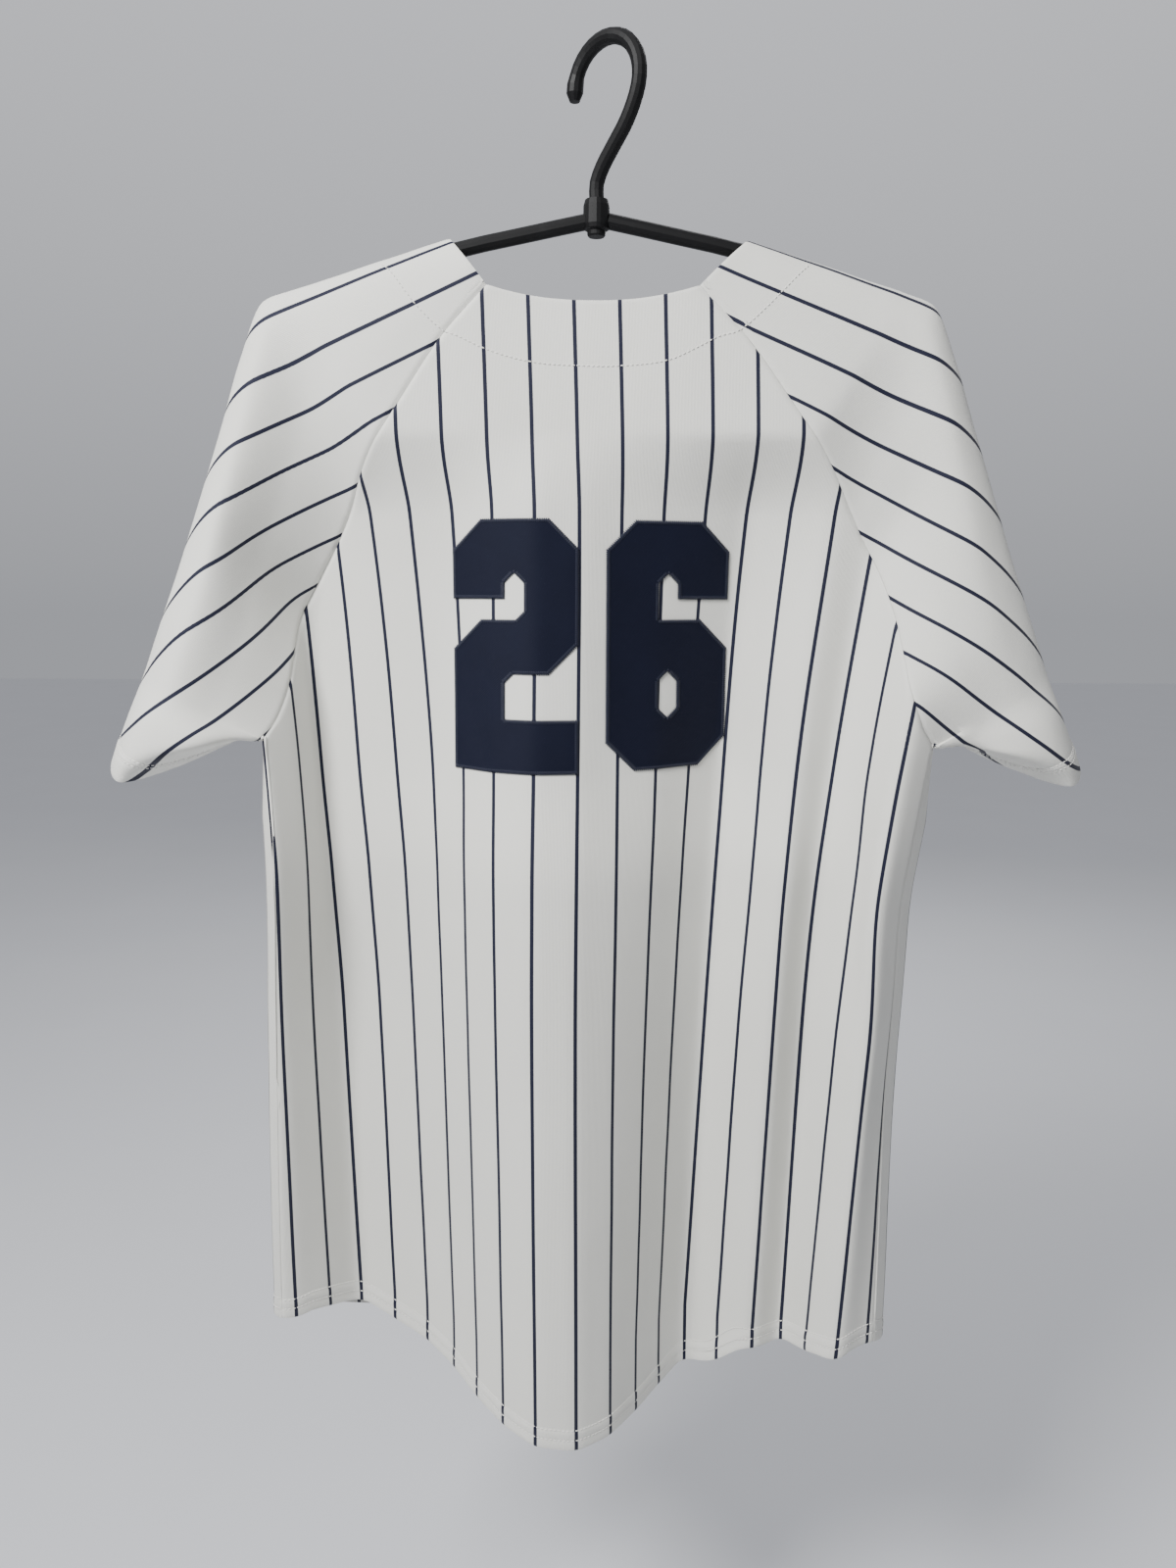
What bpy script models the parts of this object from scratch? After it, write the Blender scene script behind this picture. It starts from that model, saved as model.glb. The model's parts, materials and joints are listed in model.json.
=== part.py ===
# A button-front baseball jersey with raglan sleeves, hung on a plastic hanger and seen from its back.
# Metres, +Z up. The back of the jersey looks along -Y and its front along +Y, so the wearer's left
# is at -X. The garment is drawn about its own middle, then everything is moved so that the seat of
# the hanger's hook, where it bears on a rail, is the origin.
import math

import bmesh
import bpy
import numpy as np
from mathutils import Vector
from mathutils.geometry import tessellate_polygon

# Cloth
WALL = 0.0015                   # sewn double-knit with its seam allowances
SEAM_GAP = 0.0003               # space left between two pieces at a seam
UNDERARM_GAP = 0.0008           # more room where three pieces meet
HEM_RISE = 0.0004               # how far a turned-up hem stands out from the single cloth
BODY_HEM = 0.015                # depth of the body's hem band

# Body heights
UNDERARM_Z = -0.432
SIDE_HEM_Z = -0.867
BACK_TAIL_Z = -0.931
FRONT_TAIL_Z = -0.925

# Half widths of the back along the cloth
UNDERARM_HALF = 0.2725
HEM_HALF = 0.284

# How the cloth of the back falls in folds. It is divided into upright strips, counted from the left,
# and each row gives one strip's slope in plan at five heights, in degrees. Plus falls away from the
# viewer going to the right.
STRIP = 0.029
FIRST_STRIP = -10.42            # left edge of the first strip, in strips from centre back
FOLD_HEIGHTS = (-0.235, -0.285, -0.450, -0.530, -0.640, -0.870)
FOLDS = (
    # shoulder, chest, ribs, waist, hip
    (20, 34, 14, 10, 5),
    (40, 54, 60, 58, 46),
    (60, 80, 74, 58, 52),
    (-10, -16, -16, -16, -22),
    (-22, -16, -18, -24, -22),
    (-18, -22, -32, -36, -40),
    (-10, -38, -46, -48, -50),
    (-22, -42, -44, -44, -46),
    (-18, -22, -26, -32, -36),
    (8, 8, 4, 0, -2),
    (18, 26, 26, 28, 34),
    (16, 24, 34, 40, 50),
    (16, 36, 42, 46, 52),
    (16, 32, 34, 38, 48),
    (-14, -36, -38, -44, -42),
    (-14, -48, -54, -46, -38),
    (8, 30, 42, 48, 44),
    (-40, -54, -40, -52, -68),
    (-50, -66, -80, -58, -58),
    (24, 34, 44, 54, 36),
    (0, 24, 20, 20, 12),
)
FOLD_ROUNDING = 23              # width of the rounding at each fold, in millimetres of cloth
CENTRE_BACK = (
    # z, x, y
    (-0.150, -0.0035, -0.016),
    (-0.235, -0.0010, -0.020),
    (-0.285, 0.0000, -0.021),
    (-0.450, -0.0010, -0.034),
    (-0.530, -0.0015, -0.050),
    (-0.640, -0.0020, -0.052),
    (-0.950, -0.0010, -0.052),
)
BACK_HEM_LIFT = 0.015           # the fold beside the right seam carries the hem up here
BACK_HEM_LIFT_U = 0.158
BACK_HEM_LIFT_WIDTH = 0.022

# Raglan seams: height, and distance from the middle along the cloth
RAGLAN_BACK = (
    (-0.143, 0.0675),
    (-0.174, 0.0970),
    (-0.218, 0.1285),
    (-0.260, 0.1580),
    (-0.303, 0.1860),
    (-0.345, 0.2145),
    (-0.395, 0.2440),
    (-0.420, 0.2600),
    (UNDERARM_Z, UNDERARM_HALF),
)
# Height, and share of the half front
RAGLAN_FRONT = (
    (-0.163, 0.300),
    (-0.200, 0.385),
    (-0.260, 0.525),
    (-0.303, 0.620),
    (-0.345, 0.715),
    (-0.395, 0.825),
    (-0.420, 0.905),
    (UNDERARM_Z, 1.0),
)
NECK_BACK_LOW_Z = -0.1525
NECK_FRONT_LOW_Z = -0.240

# Plan of the front: y at seven stations across it, for each height
FRONT_X = (-0.195, -0.130, -0.065, 0.0, 0.065, 0.130, 0.195)
FRONT_Y = (
    (-0.150, 0.008, 0.011, 0.014, 0.015, 0.014, 0.011, 0.008),
    (-0.285, 0.024, 0.026, 0.027, 0.027, 0.025, 0.021, 0.017),
    (-0.360, 0.046, 0.045, 0.040, 0.044, 0.038, 0.036, 0.026),
    (-0.450, 0.048, 0.054, 0.048, 0.058, 0.048, 0.046, 0.030),
    (-0.640, 0.060, 0.072, 0.056, 0.070, 0.054, 0.064, 0.038),
    (-0.870, 0.066, 0.080, 0.058, 0.076, 0.054, 0.070, 0.038),
)
SIDE_ROUND = ((0.011, 0.020), (0.008, 0.044))   # out past the side seam, and behind it
SIDE_FLAT_Z = (-0.485, -0.400)  # this swelling dies away between these heights, under the arm

# Buttoned edge
OVERLAP = 0.016                 # each front reaches this far past the middle
UNDERLAP_DROP = 0.0036          # how far the right front lies under the left one
BUTTONS = 7
BUTTON_TOP_Z = -0.262
BUTTON_PITCH = 0.092
BUTTON_LIFT = 0.0005            # room for the thread that holds it
BUTTON_PROFILE = (
    # radius, height
    (0.0, 0.0), (0.0056, 0.0), (0.0073, 0.0010), (0.0075, 0.0019), (0.0068, 0.0028), (0.0055, 0.0028),
    (0.0048, 0.0021), (0.0, 0.0021),
)

# Sleeve: one row for each level, from the neck down the raglan seam to the underarm. The edge is the
# fold over the hanger's arm and then the sleeve's outer side, and the cloth turns round it.
SLEEVE_LEVELS = (
    # share of seam, edge x, edge y, edge z, turn, turn y at back, turn y at front
    (0.000, 0.0955, 0.000, -0.1120, 0.008, -0.0092, 0.0092),
    (0.107, 0.1355, 0.000, -0.1248, 0.009, -0.0094, 0.0094),
    (0.215, 0.1695, 0.000, -0.1353, 0.010, -0.0100, 0.0100),
    (0.320, 0.1980, 0.000, -0.1438, 0.012, -0.0110, 0.0110),
    (0.410, 0.2160, 0.001, -0.1505, 0.016, -0.0130, 0.0140),
    (0.510, 0.2325, 0.001, -0.1860, 0.022, -0.0180, 0.0200),
    (0.610, 0.2455, 0.000, -0.2260, 0.025, -0.0220, 0.0260),
    (0.720, 0.2610, -0.002, -0.2710, 0.027, -0.0270, 0.0320),
    (0.837, 0.2765, -0.004, -0.3160, 0.028, -0.0320, 0.0380),
    (0.930, 0.2905, -0.005, -0.3540, 0.028, -0.0360, 0.0440),
    (1.000, 0.3020, -0.005, -0.3850, 0.028, -0.0390, 0.0480),
)
SLEEVE_FULLNESS = 0.003         # the layers swell out by this between the seam and the turn
# Rings below the underarm, where the sleeve is a closed tube whose back lower edge rolls under
SLEEVE_RINGS = (
    # inner, rolled edge, back corner, outer edge, front corner, front, inner front
    ((0.2360, -0.036, -0.4325), (0.252, -0.0460, -0.4300), (0.292, -0.044, -0.419),
     (0.3115, -0.006, -0.4090), (0.290, 0.0500, -0.4050), (0.262, 0.048, -0.417),
     (0.2460, 0.012, -0.4290)),
    ((0.2450, -0.016, -0.4350), (0.268, -0.0440, -0.4390), (0.306, -0.042, -0.443),
     (0.3215, -0.005, -0.4320), (0.304, 0.0540, -0.4210), (0.272, 0.052, -0.426),
     (0.2530, 0.022, -0.4320)),
    ((0.2550, 0.008, -0.4390), (0.283, -0.0080, -0.4520), (0.313, -0.036, -0.459),
     (0.3280, -0.005, -0.4480), (0.312, 0.0560, -0.4400), (0.280, 0.056, -0.437),
     (0.2600, 0.036, -0.4370)),
)
RING_UNDERARM_Y = -0.0445       # the rings are drawn for an underarm point at this y
RING_FOLLOWS = (0.8, 0.4, 0.0)  # and their inner points follow it where it lies elsewhere
SLEEVE_LOWER = (1.33, 1.67, 2.0, 2.5, 3.0, 3.5, 4.0)  # levels: 1 is the underarm, 4 the hem
SLEEVE_BAND = 3.0               # level where the hem band begins

# Number on the back, in plain cut-corner numerals of thick twill
NUMERAL_WIDTH = 0.082
NUMERAL_HEIGHT = 0.163
NUMERAL_STROKE = 0.034
NUMERAL_CORNER = 0.019
NUMERAL_HOOK = 0.113            # height of the free end of an upper stroke
NUMERAL_BASE_Z = -0.4515
NUMERAL_LEFT_X = (-0.0945, 0.0065)
TWILL = (0.0003, 0.0014)        # underside and face, out from the back

# Hanger
ARM_RADIUS = 0.0049
ARM_PATH = (
    # x, z
    (0.0060, -0.1010), (0.0450, -0.1090), (0.0955, -0.1200), (0.1355, -0.1328), (0.1695, -0.1433),
    (0.1980, -0.1520), (0.2050, -0.1550),
)
HUB_PROFILE = (
    # radius, z
    (0.0, -0.1105), (0.0050, -0.1105), (0.0058, -0.1095), (0.0060, -0.1072), (0.0080, -0.1060),
    (0.0086, -0.1035), (0.0084, -0.0920), (0.0074, -0.0885), (0.0, -0.0885),
)
HUB_X = -0.0015
HOOK_RADIUS = 0.0048
HOOK_BEND = 0.026               # radius of the bend, to the middle of the tube
HOOK_OFFSET = 0.0075            # the bend's centre stands this far off the shank
HOOK_TURN = math.radians(40.0)  # the hook has swivelled this far from the hanger's own plane
HOOK_SHANK = (
    # out from the shank, z
    (0.0, -0.0881), (0.0, -0.0790), (0.0045, -0.0700), (0.0140, -0.0585), (0.0230, -0.0480),
    (0.0290, -0.0380), (0.0325, -0.0290),
)
HOOK_TIP_DROP = 0.005
HOOK_TIP_RADIUS = 0.0054

# Grid sizes
RAGLAN_ROWS = 13                # the last of them at the underarm
LAST_SHARE = 0.965              # where the one before it is, along the seam
LOWER_ROWS = 9
BACK_COLUMNS = 40
FRONT_COLUMNS = 14
SLEEVE_STEPS = 3                # between each two of the points that shape a row

NAVY = (0.012, 0.016, 0.045)
OFF_WHITE = (0.80, 0.80, 0.76)
BLACK = (0.018, 0.018, 0.020)
BUTTON_WHITE = (0.86, 0.85, 0.82)


def column(table, i):
    return np.array([row[i] for row in table], float)


def smooth(xs, ys, x):
    """Monotone cubic through a table, flat beyond its ends."""
    xs = np.asarray(xs, float)
    ys = np.asarray(ys, float)
    if xs[0] > xs[-1]:
        xs, ys = xs[::-1], ys[::-1]
    x = min(max(x, xs[0]), xs[-1])
    step = np.diff(xs)
    slope = np.diff(ys) / step
    tangent = np.zeros_like(ys)
    for i in range(1, len(xs) - 1):
        if slope[i - 1] * slope[i] > 0:
            before = 2 * step[i] + step[i - 1]
            after = step[i] + 2 * step[i - 1]
            tangent[i] = (before + after) / (before / slope[i - 1] + after / slope[i])
    tangent[0], tangent[-1] = slope[0], slope[-1]
    i = min(int(np.searchsorted(xs, x, side="right")) - 1, len(xs) - 2)
    t = (x - xs[i]) / step[i]
    return float((1 + 2 * t) * (1 - t) ** 2 * ys[i] + t * (1 - t) ** 2 * step[i] * tangent[i]
                 + t * t * (3 - 2 * t) * ys[i + 1] + t * t * (t - 1) * step[i] * tangent[i + 1])


def through(points, steps, closed=False):
    """A smooth curve through some points, with the same number of steps between each two of them."""
    p = np.asarray(points, float)
    gap = np.sqrt(np.linalg.norm(np.diff(p, axis=0), axis=1))
    velocity = np.zeros_like(p)
    rate = np.diff(p, axis=0) / gap[:, None]
    share = (gap[:-1] / (gap[:-1] + gap[1:]))[:, None]
    velocity[1:-1] = rate[:-1] * (1 - share) + rate[1:] * share
    velocity[0], velocity[-1] = rate[0], rate[-1]
    if closed:
        part = gap[-1] / (gap[-1] + gap[0])
        velocity[0] = velocity[-1] = rate[-1] * (1 - part) + rate[0] * part
    t = (np.arange(steps) / steps)[:, None]
    fine = []
    for i, step in enumerate(gap):
        fine.append((1 + 2 * t) * (1 - t) ** 2 * p[i] + t * (1 - t) ** 2 * step * velocity[i]
                    + t * t * (3 - 2 * t) * p[i + 1] + t * t * (t - 1) * step * velocity[i + 1])
    return np.vstack(fine + [p[-1:]])


def curve_through(points, shares):
    """Points at the given shares of the length of a smooth curve through some others."""
    fine = through(points, 24)
    run = np.concatenate(([0.0], np.cumsum(np.linalg.norm(np.diff(fine, axis=0), axis=1))))
    want = np.asarray(shares) * run[-1]
    return np.column_stack([np.interp(want, run, fine[:, k]) for k in range(fine.shape[1])])


# Form of the back
CLOTH_U = np.arange(-0.310, 0.3105, 0.001)
back_sections = {}


def back_section(z):
    """Plan of the back at a height, as x and y for each place along the cloth."""
    key = round(z, 4)
    if key not in back_sections:
        slopes = np.array([smooth(FOLD_HEIGHTS, (0.0,) + row, z) for row in FOLDS])
        strip = np.clip(np.floor(CLOTH_U / STRIP - FIRST_STRIP).astype(int), 0, len(FOLDS) - 1)
        kernel = np.hanning(FOLD_ROUNDING + 2)[1:-1]
        angle = np.pad(np.radians(slopes[strip]), FOLD_ROUNDING // 2, mode="edge")
        angle = np.convolve(angle, kernel / kernel.sum(), mode="valid")
        middle = (angle[1:] + angle[:-1]) / 2
        run = np.diff(CLOTH_U)
        x = np.concatenate(([0.0], np.cumsum(np.cos(middle) * run)))
        y = np.concatenate(([0.0], np.cumsum(np.sin(middle) * run)))
        x += smooth(column(CENTRE_BACK, 0), column(CENTRE_BACK, 1), z) - np.interp(0.0, CLOTH_U, x)
        y += smooth(column(CENTRE_BACK, 0), column(CENTRE_BACK, 2), z) - np.interp(0.0, CLOTH_U, y)
        back_sections[key] = (x, y)
    return back_sections[key]


def back_point(u, z):
    x, y = back_section(z)
    return np.array((np.interp(u, CLOTH_U, x), np.interp(u, CLOTH_U, y), z))


def raglan_half(z):
    return smooth(column(RAGLAN_BACK, 0), column(RAGLAN_BACK, 1), z)


def side_half(z):
    share = (UNDERARM_Z - z) / (UNDERARM_Z - SIDE_HEM_Z)
    return UNDERARM_HALF + (HEM_HALF - UNDERARM_HALF) * min(max(share, 0.0), 1.0)


def neck_back_z(u):
    top = RAGLAN_BACK[0]
    return NECK_BACK_LOW_Z + (top[0] - NECK_BACK_LOW_Z) * min(abs(u) / top[1], 1.0) ** 2.2


def tail(share, tail_z, fullness):
    """Height of a shirt-tail hem: share is 0 in the middle and 1 at the side seam."""
    swing = 0.5 + 0.5 * math.cos(math.pi * min(abs(share), 1.0))
    return SIDE_HEM_Z + (tail_z - SIDE_HEM_Z) * swing ** fullness


def hem_back_z(u):
    lift = BACK_HEM_LIFT * math.exp(-((u - BACK_HEM_LIFT_U) / BACK_HEM_LIFT_WIDTH) ** 2)
    return tail(u / 0.262, BACK_TAIL_Z, 0.62) + lift


# Form of the front
def front_curve(z):
    """Plan of the front at a height, from the left side seam round to the right one."""
    seam_z = min(z, UNDERARM_Z)
    left = back_point(-side_half(seam_z), seam_z)
    right = back_point(side_half(seam_z), seam_z)
    swell = smooth(SIDE_FLAT_Z, (1.0, 0.15), z)
    points = [(left[0], left[1])]
    points += [(left[0] - out * swell, left[1] + behind) for out, behind in SIDE_ROUND]
    for i, x in enumerate(FRONT_X):
        points.append((x, smooth(column(FRONT_Y, 0), column(FRONT_Y, i + 1), z)))
    points += [(right[0] + out * swell, right[1] + behind) for out, behind in reversed(SIDE_ROUND)]
    points.append((right[0], right[1]))
    return points


def front_point(share, z):
    """Share is -1 at the left side seam, 0 near the middle and 1 at the right side seam."""
    x, y = curve_through(front_curve(z), [0.5 + share / 2])[0]
    return np.array((x, y, z))


def front_share(z):
    return smooth(column(RAGLAN_FRONT, 0), column(RAGLAN_FRONT, 1), z)


def neck_front_z(share):
    top = RAGLAN_FRONT[0]
    return NECK_FRONT_LOW_Z + (top[0] - NECK_FRONT_LOW_Z) * min(abs(share) / top[1], 1.0) ** 2.4


def hem_front_z(share):
    return tail(share, FRONT_TAIL_Z, 0.45)


# Rows shared by the panels, so that they meet point for point at the seams
RAGLAN_SHARES = [i / (RAGLAN_ROWS - 1) for i in range(RAGLAN_ROWS - 1)] + [LAST_SHARE, 1.0]


def along(share, start, end):
    return start + (end - start) * share


def back_seam_z(share):
    return along(share, RAGLAN_BACK[0][0], UNDERARM_Z)


def front_seam_z(share):
    return along(share, RAGLAN_FRONT[0][0], UNDERARM_Z)


def lower_heights(hem_z):
    """Heights of the rows below the underarm, the last two of them on the hem band."""
    band = hem_z + BODY_HEM
    return [along(i / LOWER_ROWS, UNDERARM_Z, band) for i in range(1, LOWER_ROWS + 1)] + [hem_z]


def back_grid():
    rows = []
    sides = np.linspace(-1, 1, BACK_COLUMNS + 1)
    for share in RAGLAN_SHARES:
        z = back_seam_z(share)
        half = raglan_half(z)
        dip = (1 - share) ** 2
        top_half = RAGLAN_BACK[0][1]
        rows.append([back_point(s * half, z + dip * (neck_back_z(s * top_half) - RAGLAN_BACK[0][0]))
                     for s in sides])
    side_heights = lower_heights(SIDE_HEM_Z)
    for i, side_z in enumerate(side_heights):
        half = side_half(side_z)
        rows.append([back_point(s * half, lower_heights(hem_back_z(s * HEM_HALF))[i]) for s in sides])
    return np.array(rows)


def front_grid(side):
    """One front, from its side seam or raglan seam to its buttoned edge; side is -1 for the left."""
    rows = []
    steps = np.linspace(0, 1, FRONT_COLUMNS + 1)

    def point(share, z):
        p = front_point(side * share, z)
        if side > 0:
            p[1] -= UNDERLAP_DROP * min(max((0.048 - p[0]) / 0.020, 0.0), 1.0)
        return p

    for level in RAGLAN_SHARES:
        z = front_seam_z(level)
        outer = front_share(z)
        dip = (1 - level) ** 1.6
        row = []
        for step in steps:
            share = along(step, outer, -OVERLAP / 0.285)
            neck = neck_front_z(share / outer * RAGLAN_FRONT[0][1]) - RAGLAN_FRONT[0][0]
            row.append(point(share, z + dip * neck))
        rows.append(row)
    for i in range(len(lower_heights(SIDE_HEM_Z))):
        row = []
        for step in steps:
            share = along(step, 1.0, -OVERLAP / 0.285)
            row.append(point(share, lower_heights(hem_front_z(share))[i]))
        rows.append(row)
    return np.array(rows)


def toward(start, end, distance):
    """A point on the way from start to end in the plan's XZ, with start's y."""
    way = np.array((end[0] - start[0], 0.0, end[2] - start[2]))
    return start + way / np.linalg.norm(way) * distance


def sleeve_grid(side):
    """One sleeve, each row running from the back seam round the outer edge to the front seam."""
    mirror = np.array((side, 1.0, 1.0))
    shares = column(SLEEVE_LEVELS, 0)
    swell = np.array((0.0, SLEEVE_FULLNESS, 0.0))

    def between(start, end, share, share_y):
        p = start + (end - start) * share
        p[1] = start[1] + (end[1] - start[1]) * share_y
        return p

    def controls(share):
        edge_x, edge_y, edge_z, turn, back_y, front_y = (
            smooth(shares, column(SLEEVE_LEVELS, i), share) for i in range(1, 7))
        edge = np.array((side * edge_x, edge_y, edge_z))
        z = back_seam_z(share)
        back = back_point(side * raglan_half(z), z)
        z = front_seam_z(share)
        front = front_point(side * front_share(z), z)
        back_turn = toward(edge, back, turn)
        front_turn = toward(edge, front, turn)
        back_turn[1], front_turn[1] = back_y, front_y
        return [back, (back + back_turn) / 2 - swell, back_turn, edge, front_turn,
                between(front, front_turn, 0.67, 0.88) + swell,
                between(front, front_turn, 0.33, 0.45) + swell / 2, front]

    rings = [controls(share) for share in RAGLAN_SHARES]
    rows = [through(ring, SLEEVE_STEPS) for ring in rings]
    levels = [controls(0.93), rings[-1]]
    for ring, follow in zip(SLEEVE_RINGS, RING_FOLLOWS):
        points = [np.array(p) * mirror for p in ring]
        points[0][1] += (rings[-1][0][1] - RING_UNDERARM_Y) * follow
        levels.append(points + [points[0]])
    for level in SLEEVE_LOWER:
        ring = [level_point([np.array(p[k]) for p in levels], level) for k in range(8)]
        rows.append(through(ring, SLEEVE_STEPS, closed=True))
    for row in rows[len(RAGLAN_SHARES):]:
        row[-1] = row[0]
    return np.array(rows)


def level_point(points, level):
    """A point on the smooth curve through a list of points; level 1 is the second of them."""
    p = points + [2 * points[-1] - points[-2]]
    i = min(int(level), len(points) - 2)
    t = level - i
    a, b, c, d = p[i - 1:i + 3]
    return 0.5 * (2 * b + (c - a) * t + (2 * a - 5 * b + 4 * c - d) * t ** 2
                  + (3 * b - 3 * c + d - a) * t ** 3)


# Walls
def grid_normals(grid, outward):
    """Unit normals of a grid, turned so that the one in the middle agrees with outward."""
    down = np.gradient(grid, axis=0)
    across = np.gradient(grid, axis=1)
    normal = np.cross(across, down)
    normal /= np.linalg.norm(normal, axis=2, keepdims=True)
    middle = normal[normal.shape[0] // 2, normal.shape[1] // 2]
    return normal * np.sign(np.dot(middle, outward))


def sleeve_normals(grid, side):
    """As grid_normals, but the rows below the underarm are closed rings."""
    normal = grid_normals(grid, (side, 0.0, 0.0))
    first_ring = RAGLAN_ROWS
    for i in range(first_ring, len(grid)):
        join = normal[i, 0] + normal[i, -1]
        normal[i, 0] = normal[i, -1] = join / np.linalg.norm(join)
    return normal


def share_seam_normals(panels):
    """Gives points that two panels share one normal, so that their walls end face to face."""
    meeting = {}
    for grid, normal, first, last in panels:
        for i in range(first, last):
            for j in (0, grid.shape[1] - 1):
                key = tuple(np.round(grid[i, j], 5))
                meeting.setdefault(key, []).append((normal, i, j))
    for places in meeting.values():
        total = sum(normal[i, j] for normal, i, j in places)
        total = total / np.linalg.norm(total)
        for normal, i, j in places:
            normal[i, j] = total


def draw_back(grid, normal, ends):
    """Moves the end columns named in ends half a seam gap into the panel, square to the seam."""
    moved = grid.copy()
    for j, inner, rows in ends:
        tangent = np.gradient(grid[:, j], axis=0)
        for i in rows:
            way = np.cross(normal[i, j], tangent[i])
            way *= np.sign(np.dot(way, grid[i, inner] - grid[i, j])) / np.linalg.norm(way)
            moved[i, j] += way * SEAM_GAP / 2
    return moved


def wall_mesh(name, outer, inner, closed_from=None):
    """A closed solid between two grids. Rows from closed_from on are rings that join end to end."""
    rows, columns = outer.shape[:2]
    points = []
    index = np.zeros((2, rows, columns), int)
    for layer, grid in enumerate((outer, inner)):
        for i in range(rows):
            for j in range(columns):
                ring = closed_from is not None and i >= closed_from and j == columns - 1
                index[layer, i, j] = index[layer, i, 0] if ring else len(points)
                if not ring:
                    points.append(grid[i, j])
    faces = []

    def quad(a, b, c, d):
        faces.append((a, b, c))
        faces.append((a, c, d))

    top, low = index
    for i in range(rows - 1):
        for j in range(columns - 1):
            quad(top[i, j], top[i + 1, j], top[i + 1, j + 1], top[i, j + 1])
            quad(low[i, j], low[i, j + 1], low[i + 1, j + 1], low[i + 1, j])
    for j in range(columns - 1):
        quad(top[0, j], top[0, j + 1], low[0, j + 1], low[0, j])
        quad(top[-1, j + 1], top[-1, j], low[-1, j], low[-1, j + 1])
    for i in range(rows - 1 if closed_from is None else closed_from):
        quad(top[i + 1, 0], top[i, 0], low[i, 0], low[i + 1, 0])
        quad(top[i, -1], top[i + 1, -1], low[i + 1, -1], low[i, -1])
    return mesh_object(name, points, faces)


def mesh_object(name, points, faces, flat=False):
    mesh = bpy.data.meshes.new(name)
    mesh.from_pydata([tuple(p) for p in points], [], [tuple(int(k) for k in f) for f in faces])
    work = bmesh.new()
    work.from_mesh(mesh)
    bmesh.ops.recalc_face_normals(work, faces=work.faces)
    if work.calc_volume(signed=True) < 0:
        bmesh.ops.reverse_faces(work, faces=work.faces)
    work.to_mesh(mesh)
    work.free()
    if not flat:
        mesh.shade_smooth()
        mesh.set_sharp_from_angle(angle=math.radians(40))
    obj = bpy.data.objects.new(name, mesh)
    bpy.context.scene.collection.objects.link(obj)
    return obj


def material(name, colour, roughness):
    made = bpy.data.materials.new(name)
    made.use_nodes = True
    shader = made.node_tree.nodes["Principled BSDF"]
    shader.inputs["Base Color"].default_value = (*colour, 1.0)
    shader.inputs["Roughness"].default_value = roughness
    shader.inputs["Metallic"].default_value = 0.0
    return made


def raise_hem(grid, normal, first_row):
    raised = grid.copy()
    raised[first_row:] += normal[first_row:] * HEM_RISE
    return raised


# Body and sleeves
def cloth_pieces():
    under = RAGLAN_ROWS
    grids = {"back_panel": back_grid()}
    normals = {"back_panel": grid_normals(grids["back_panel"], (0.0, -1.0, 0.0))}
    for side, hand in ((-1, "left"), (1, "right")):
        grid = front_grid(side)
        grids["front_panel_" + hand] = grid
        normals["front_panel_" + hand] = grid_normals(grid, (0.0, 1.0, 0.0))
        grid = sleeve_grid(side)
        grids["sleeve_" + hand] = grid
        normals["sleeve_" + hand] = sleeve_normals(grid, side)
    body = [name for name in grids if "panel" in name]
    share_seam_normals([(grids[name], normals[name], under, len(grids[name])) for name in body])
    share_seam_normals([(grids[name], normals[name], 0, under) for name in grids])

    last = {name: len(grid) for name, grid in grids.items()}
    made = []
    for name, grid in grids.items():
        normal = normals[name]
        hem_row = last[name] - 2
        closed_from = None
        if name.startswith("sleeve"):
            hem_row = len(RAGLAN_SHARES) + SLEEVE_LOWER.index(SLEEVE_BAND)
            closed_from = under
            ends = ((0, 1, range(under)), (-1, -2, range(under)))
            outer = draw_back(grid, normal, ends)
            way = grid[under + 1, 0] - grid[under, 0]
            outer[under, 0] += way / np.linalg.norm(way) * UNDERARM_GAP
            outer[under, -1] = outer[under, 0]
        elif name == "back_panel":
            outer = draw_back(grid, normal, ((0, 1, range(last[name])), (-1, -2, range(last[name]))))
        else:
            outer = draw_back(grid, normal, ((0, 1, range(last[name])),))
        inner = outer - normal * WALL
        outer = raise_hem(outer, normal, hem_row)
        obj = wall_mesh(name, outer, inner, closed_from)
        made.append(obj)
        grids[name], normals[name] = outer, normal
    return made, grids, normals


# Number
def numeral_outlines():
    """Outlines of a plain block 2 and 6, from the lower left corner, the 6 with its counter."""
    w, h, s, c, hook = NUMERAL_WIDTH, NUMERAL_HEIGHT, NUMERAL_STROKE, NUMERAL_CORNER, NUMERAL_HOOK
    low, mid_low, mid_high, high = s, (h - s) / 2, (h + s) / 2, h - s
    nick = 0.006
    two = [[(0, 0), (w, 0), (w, low), (s, low), (s, mid_low - nick), (s + nick, mid_low), (w - c, mid_low),
            (w, mid_low + c), (w, h - c), (w - c, h), (c, h), (0, h - c), (0, hook), (s, hook),
            (s, high - nick), (s + nick, high), (w - s - nick, high), (w - s, high - nick),
            (w - s, mid_high + nick), (w - s - nick, mid_high), (c, mid_high), (0, mid_high - c)]]
    six = [[(c, 0), (w - c, 0), (w, c), (w, mid_high - c), (w - c, mid_high), (s, mid_high),
            (s, high - nick), (s + nick, high), (w - s - nick, high), (w - s, high - nick), (w - s, hook),
            (w, hook), (w, h - c), (w - c, h), (c, h), (0, h - c), (0, c)],
           [(s, low + nick), (s, mid_low - nick), (s + nick, mid_low), (w - s - nick, mid_low),
            (w - s, mid_low - nick), (w - s, low + nick), (w - s - nick, low), (s + nick, low)]]
    return {"number_two": two, "number_six": six}


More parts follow.
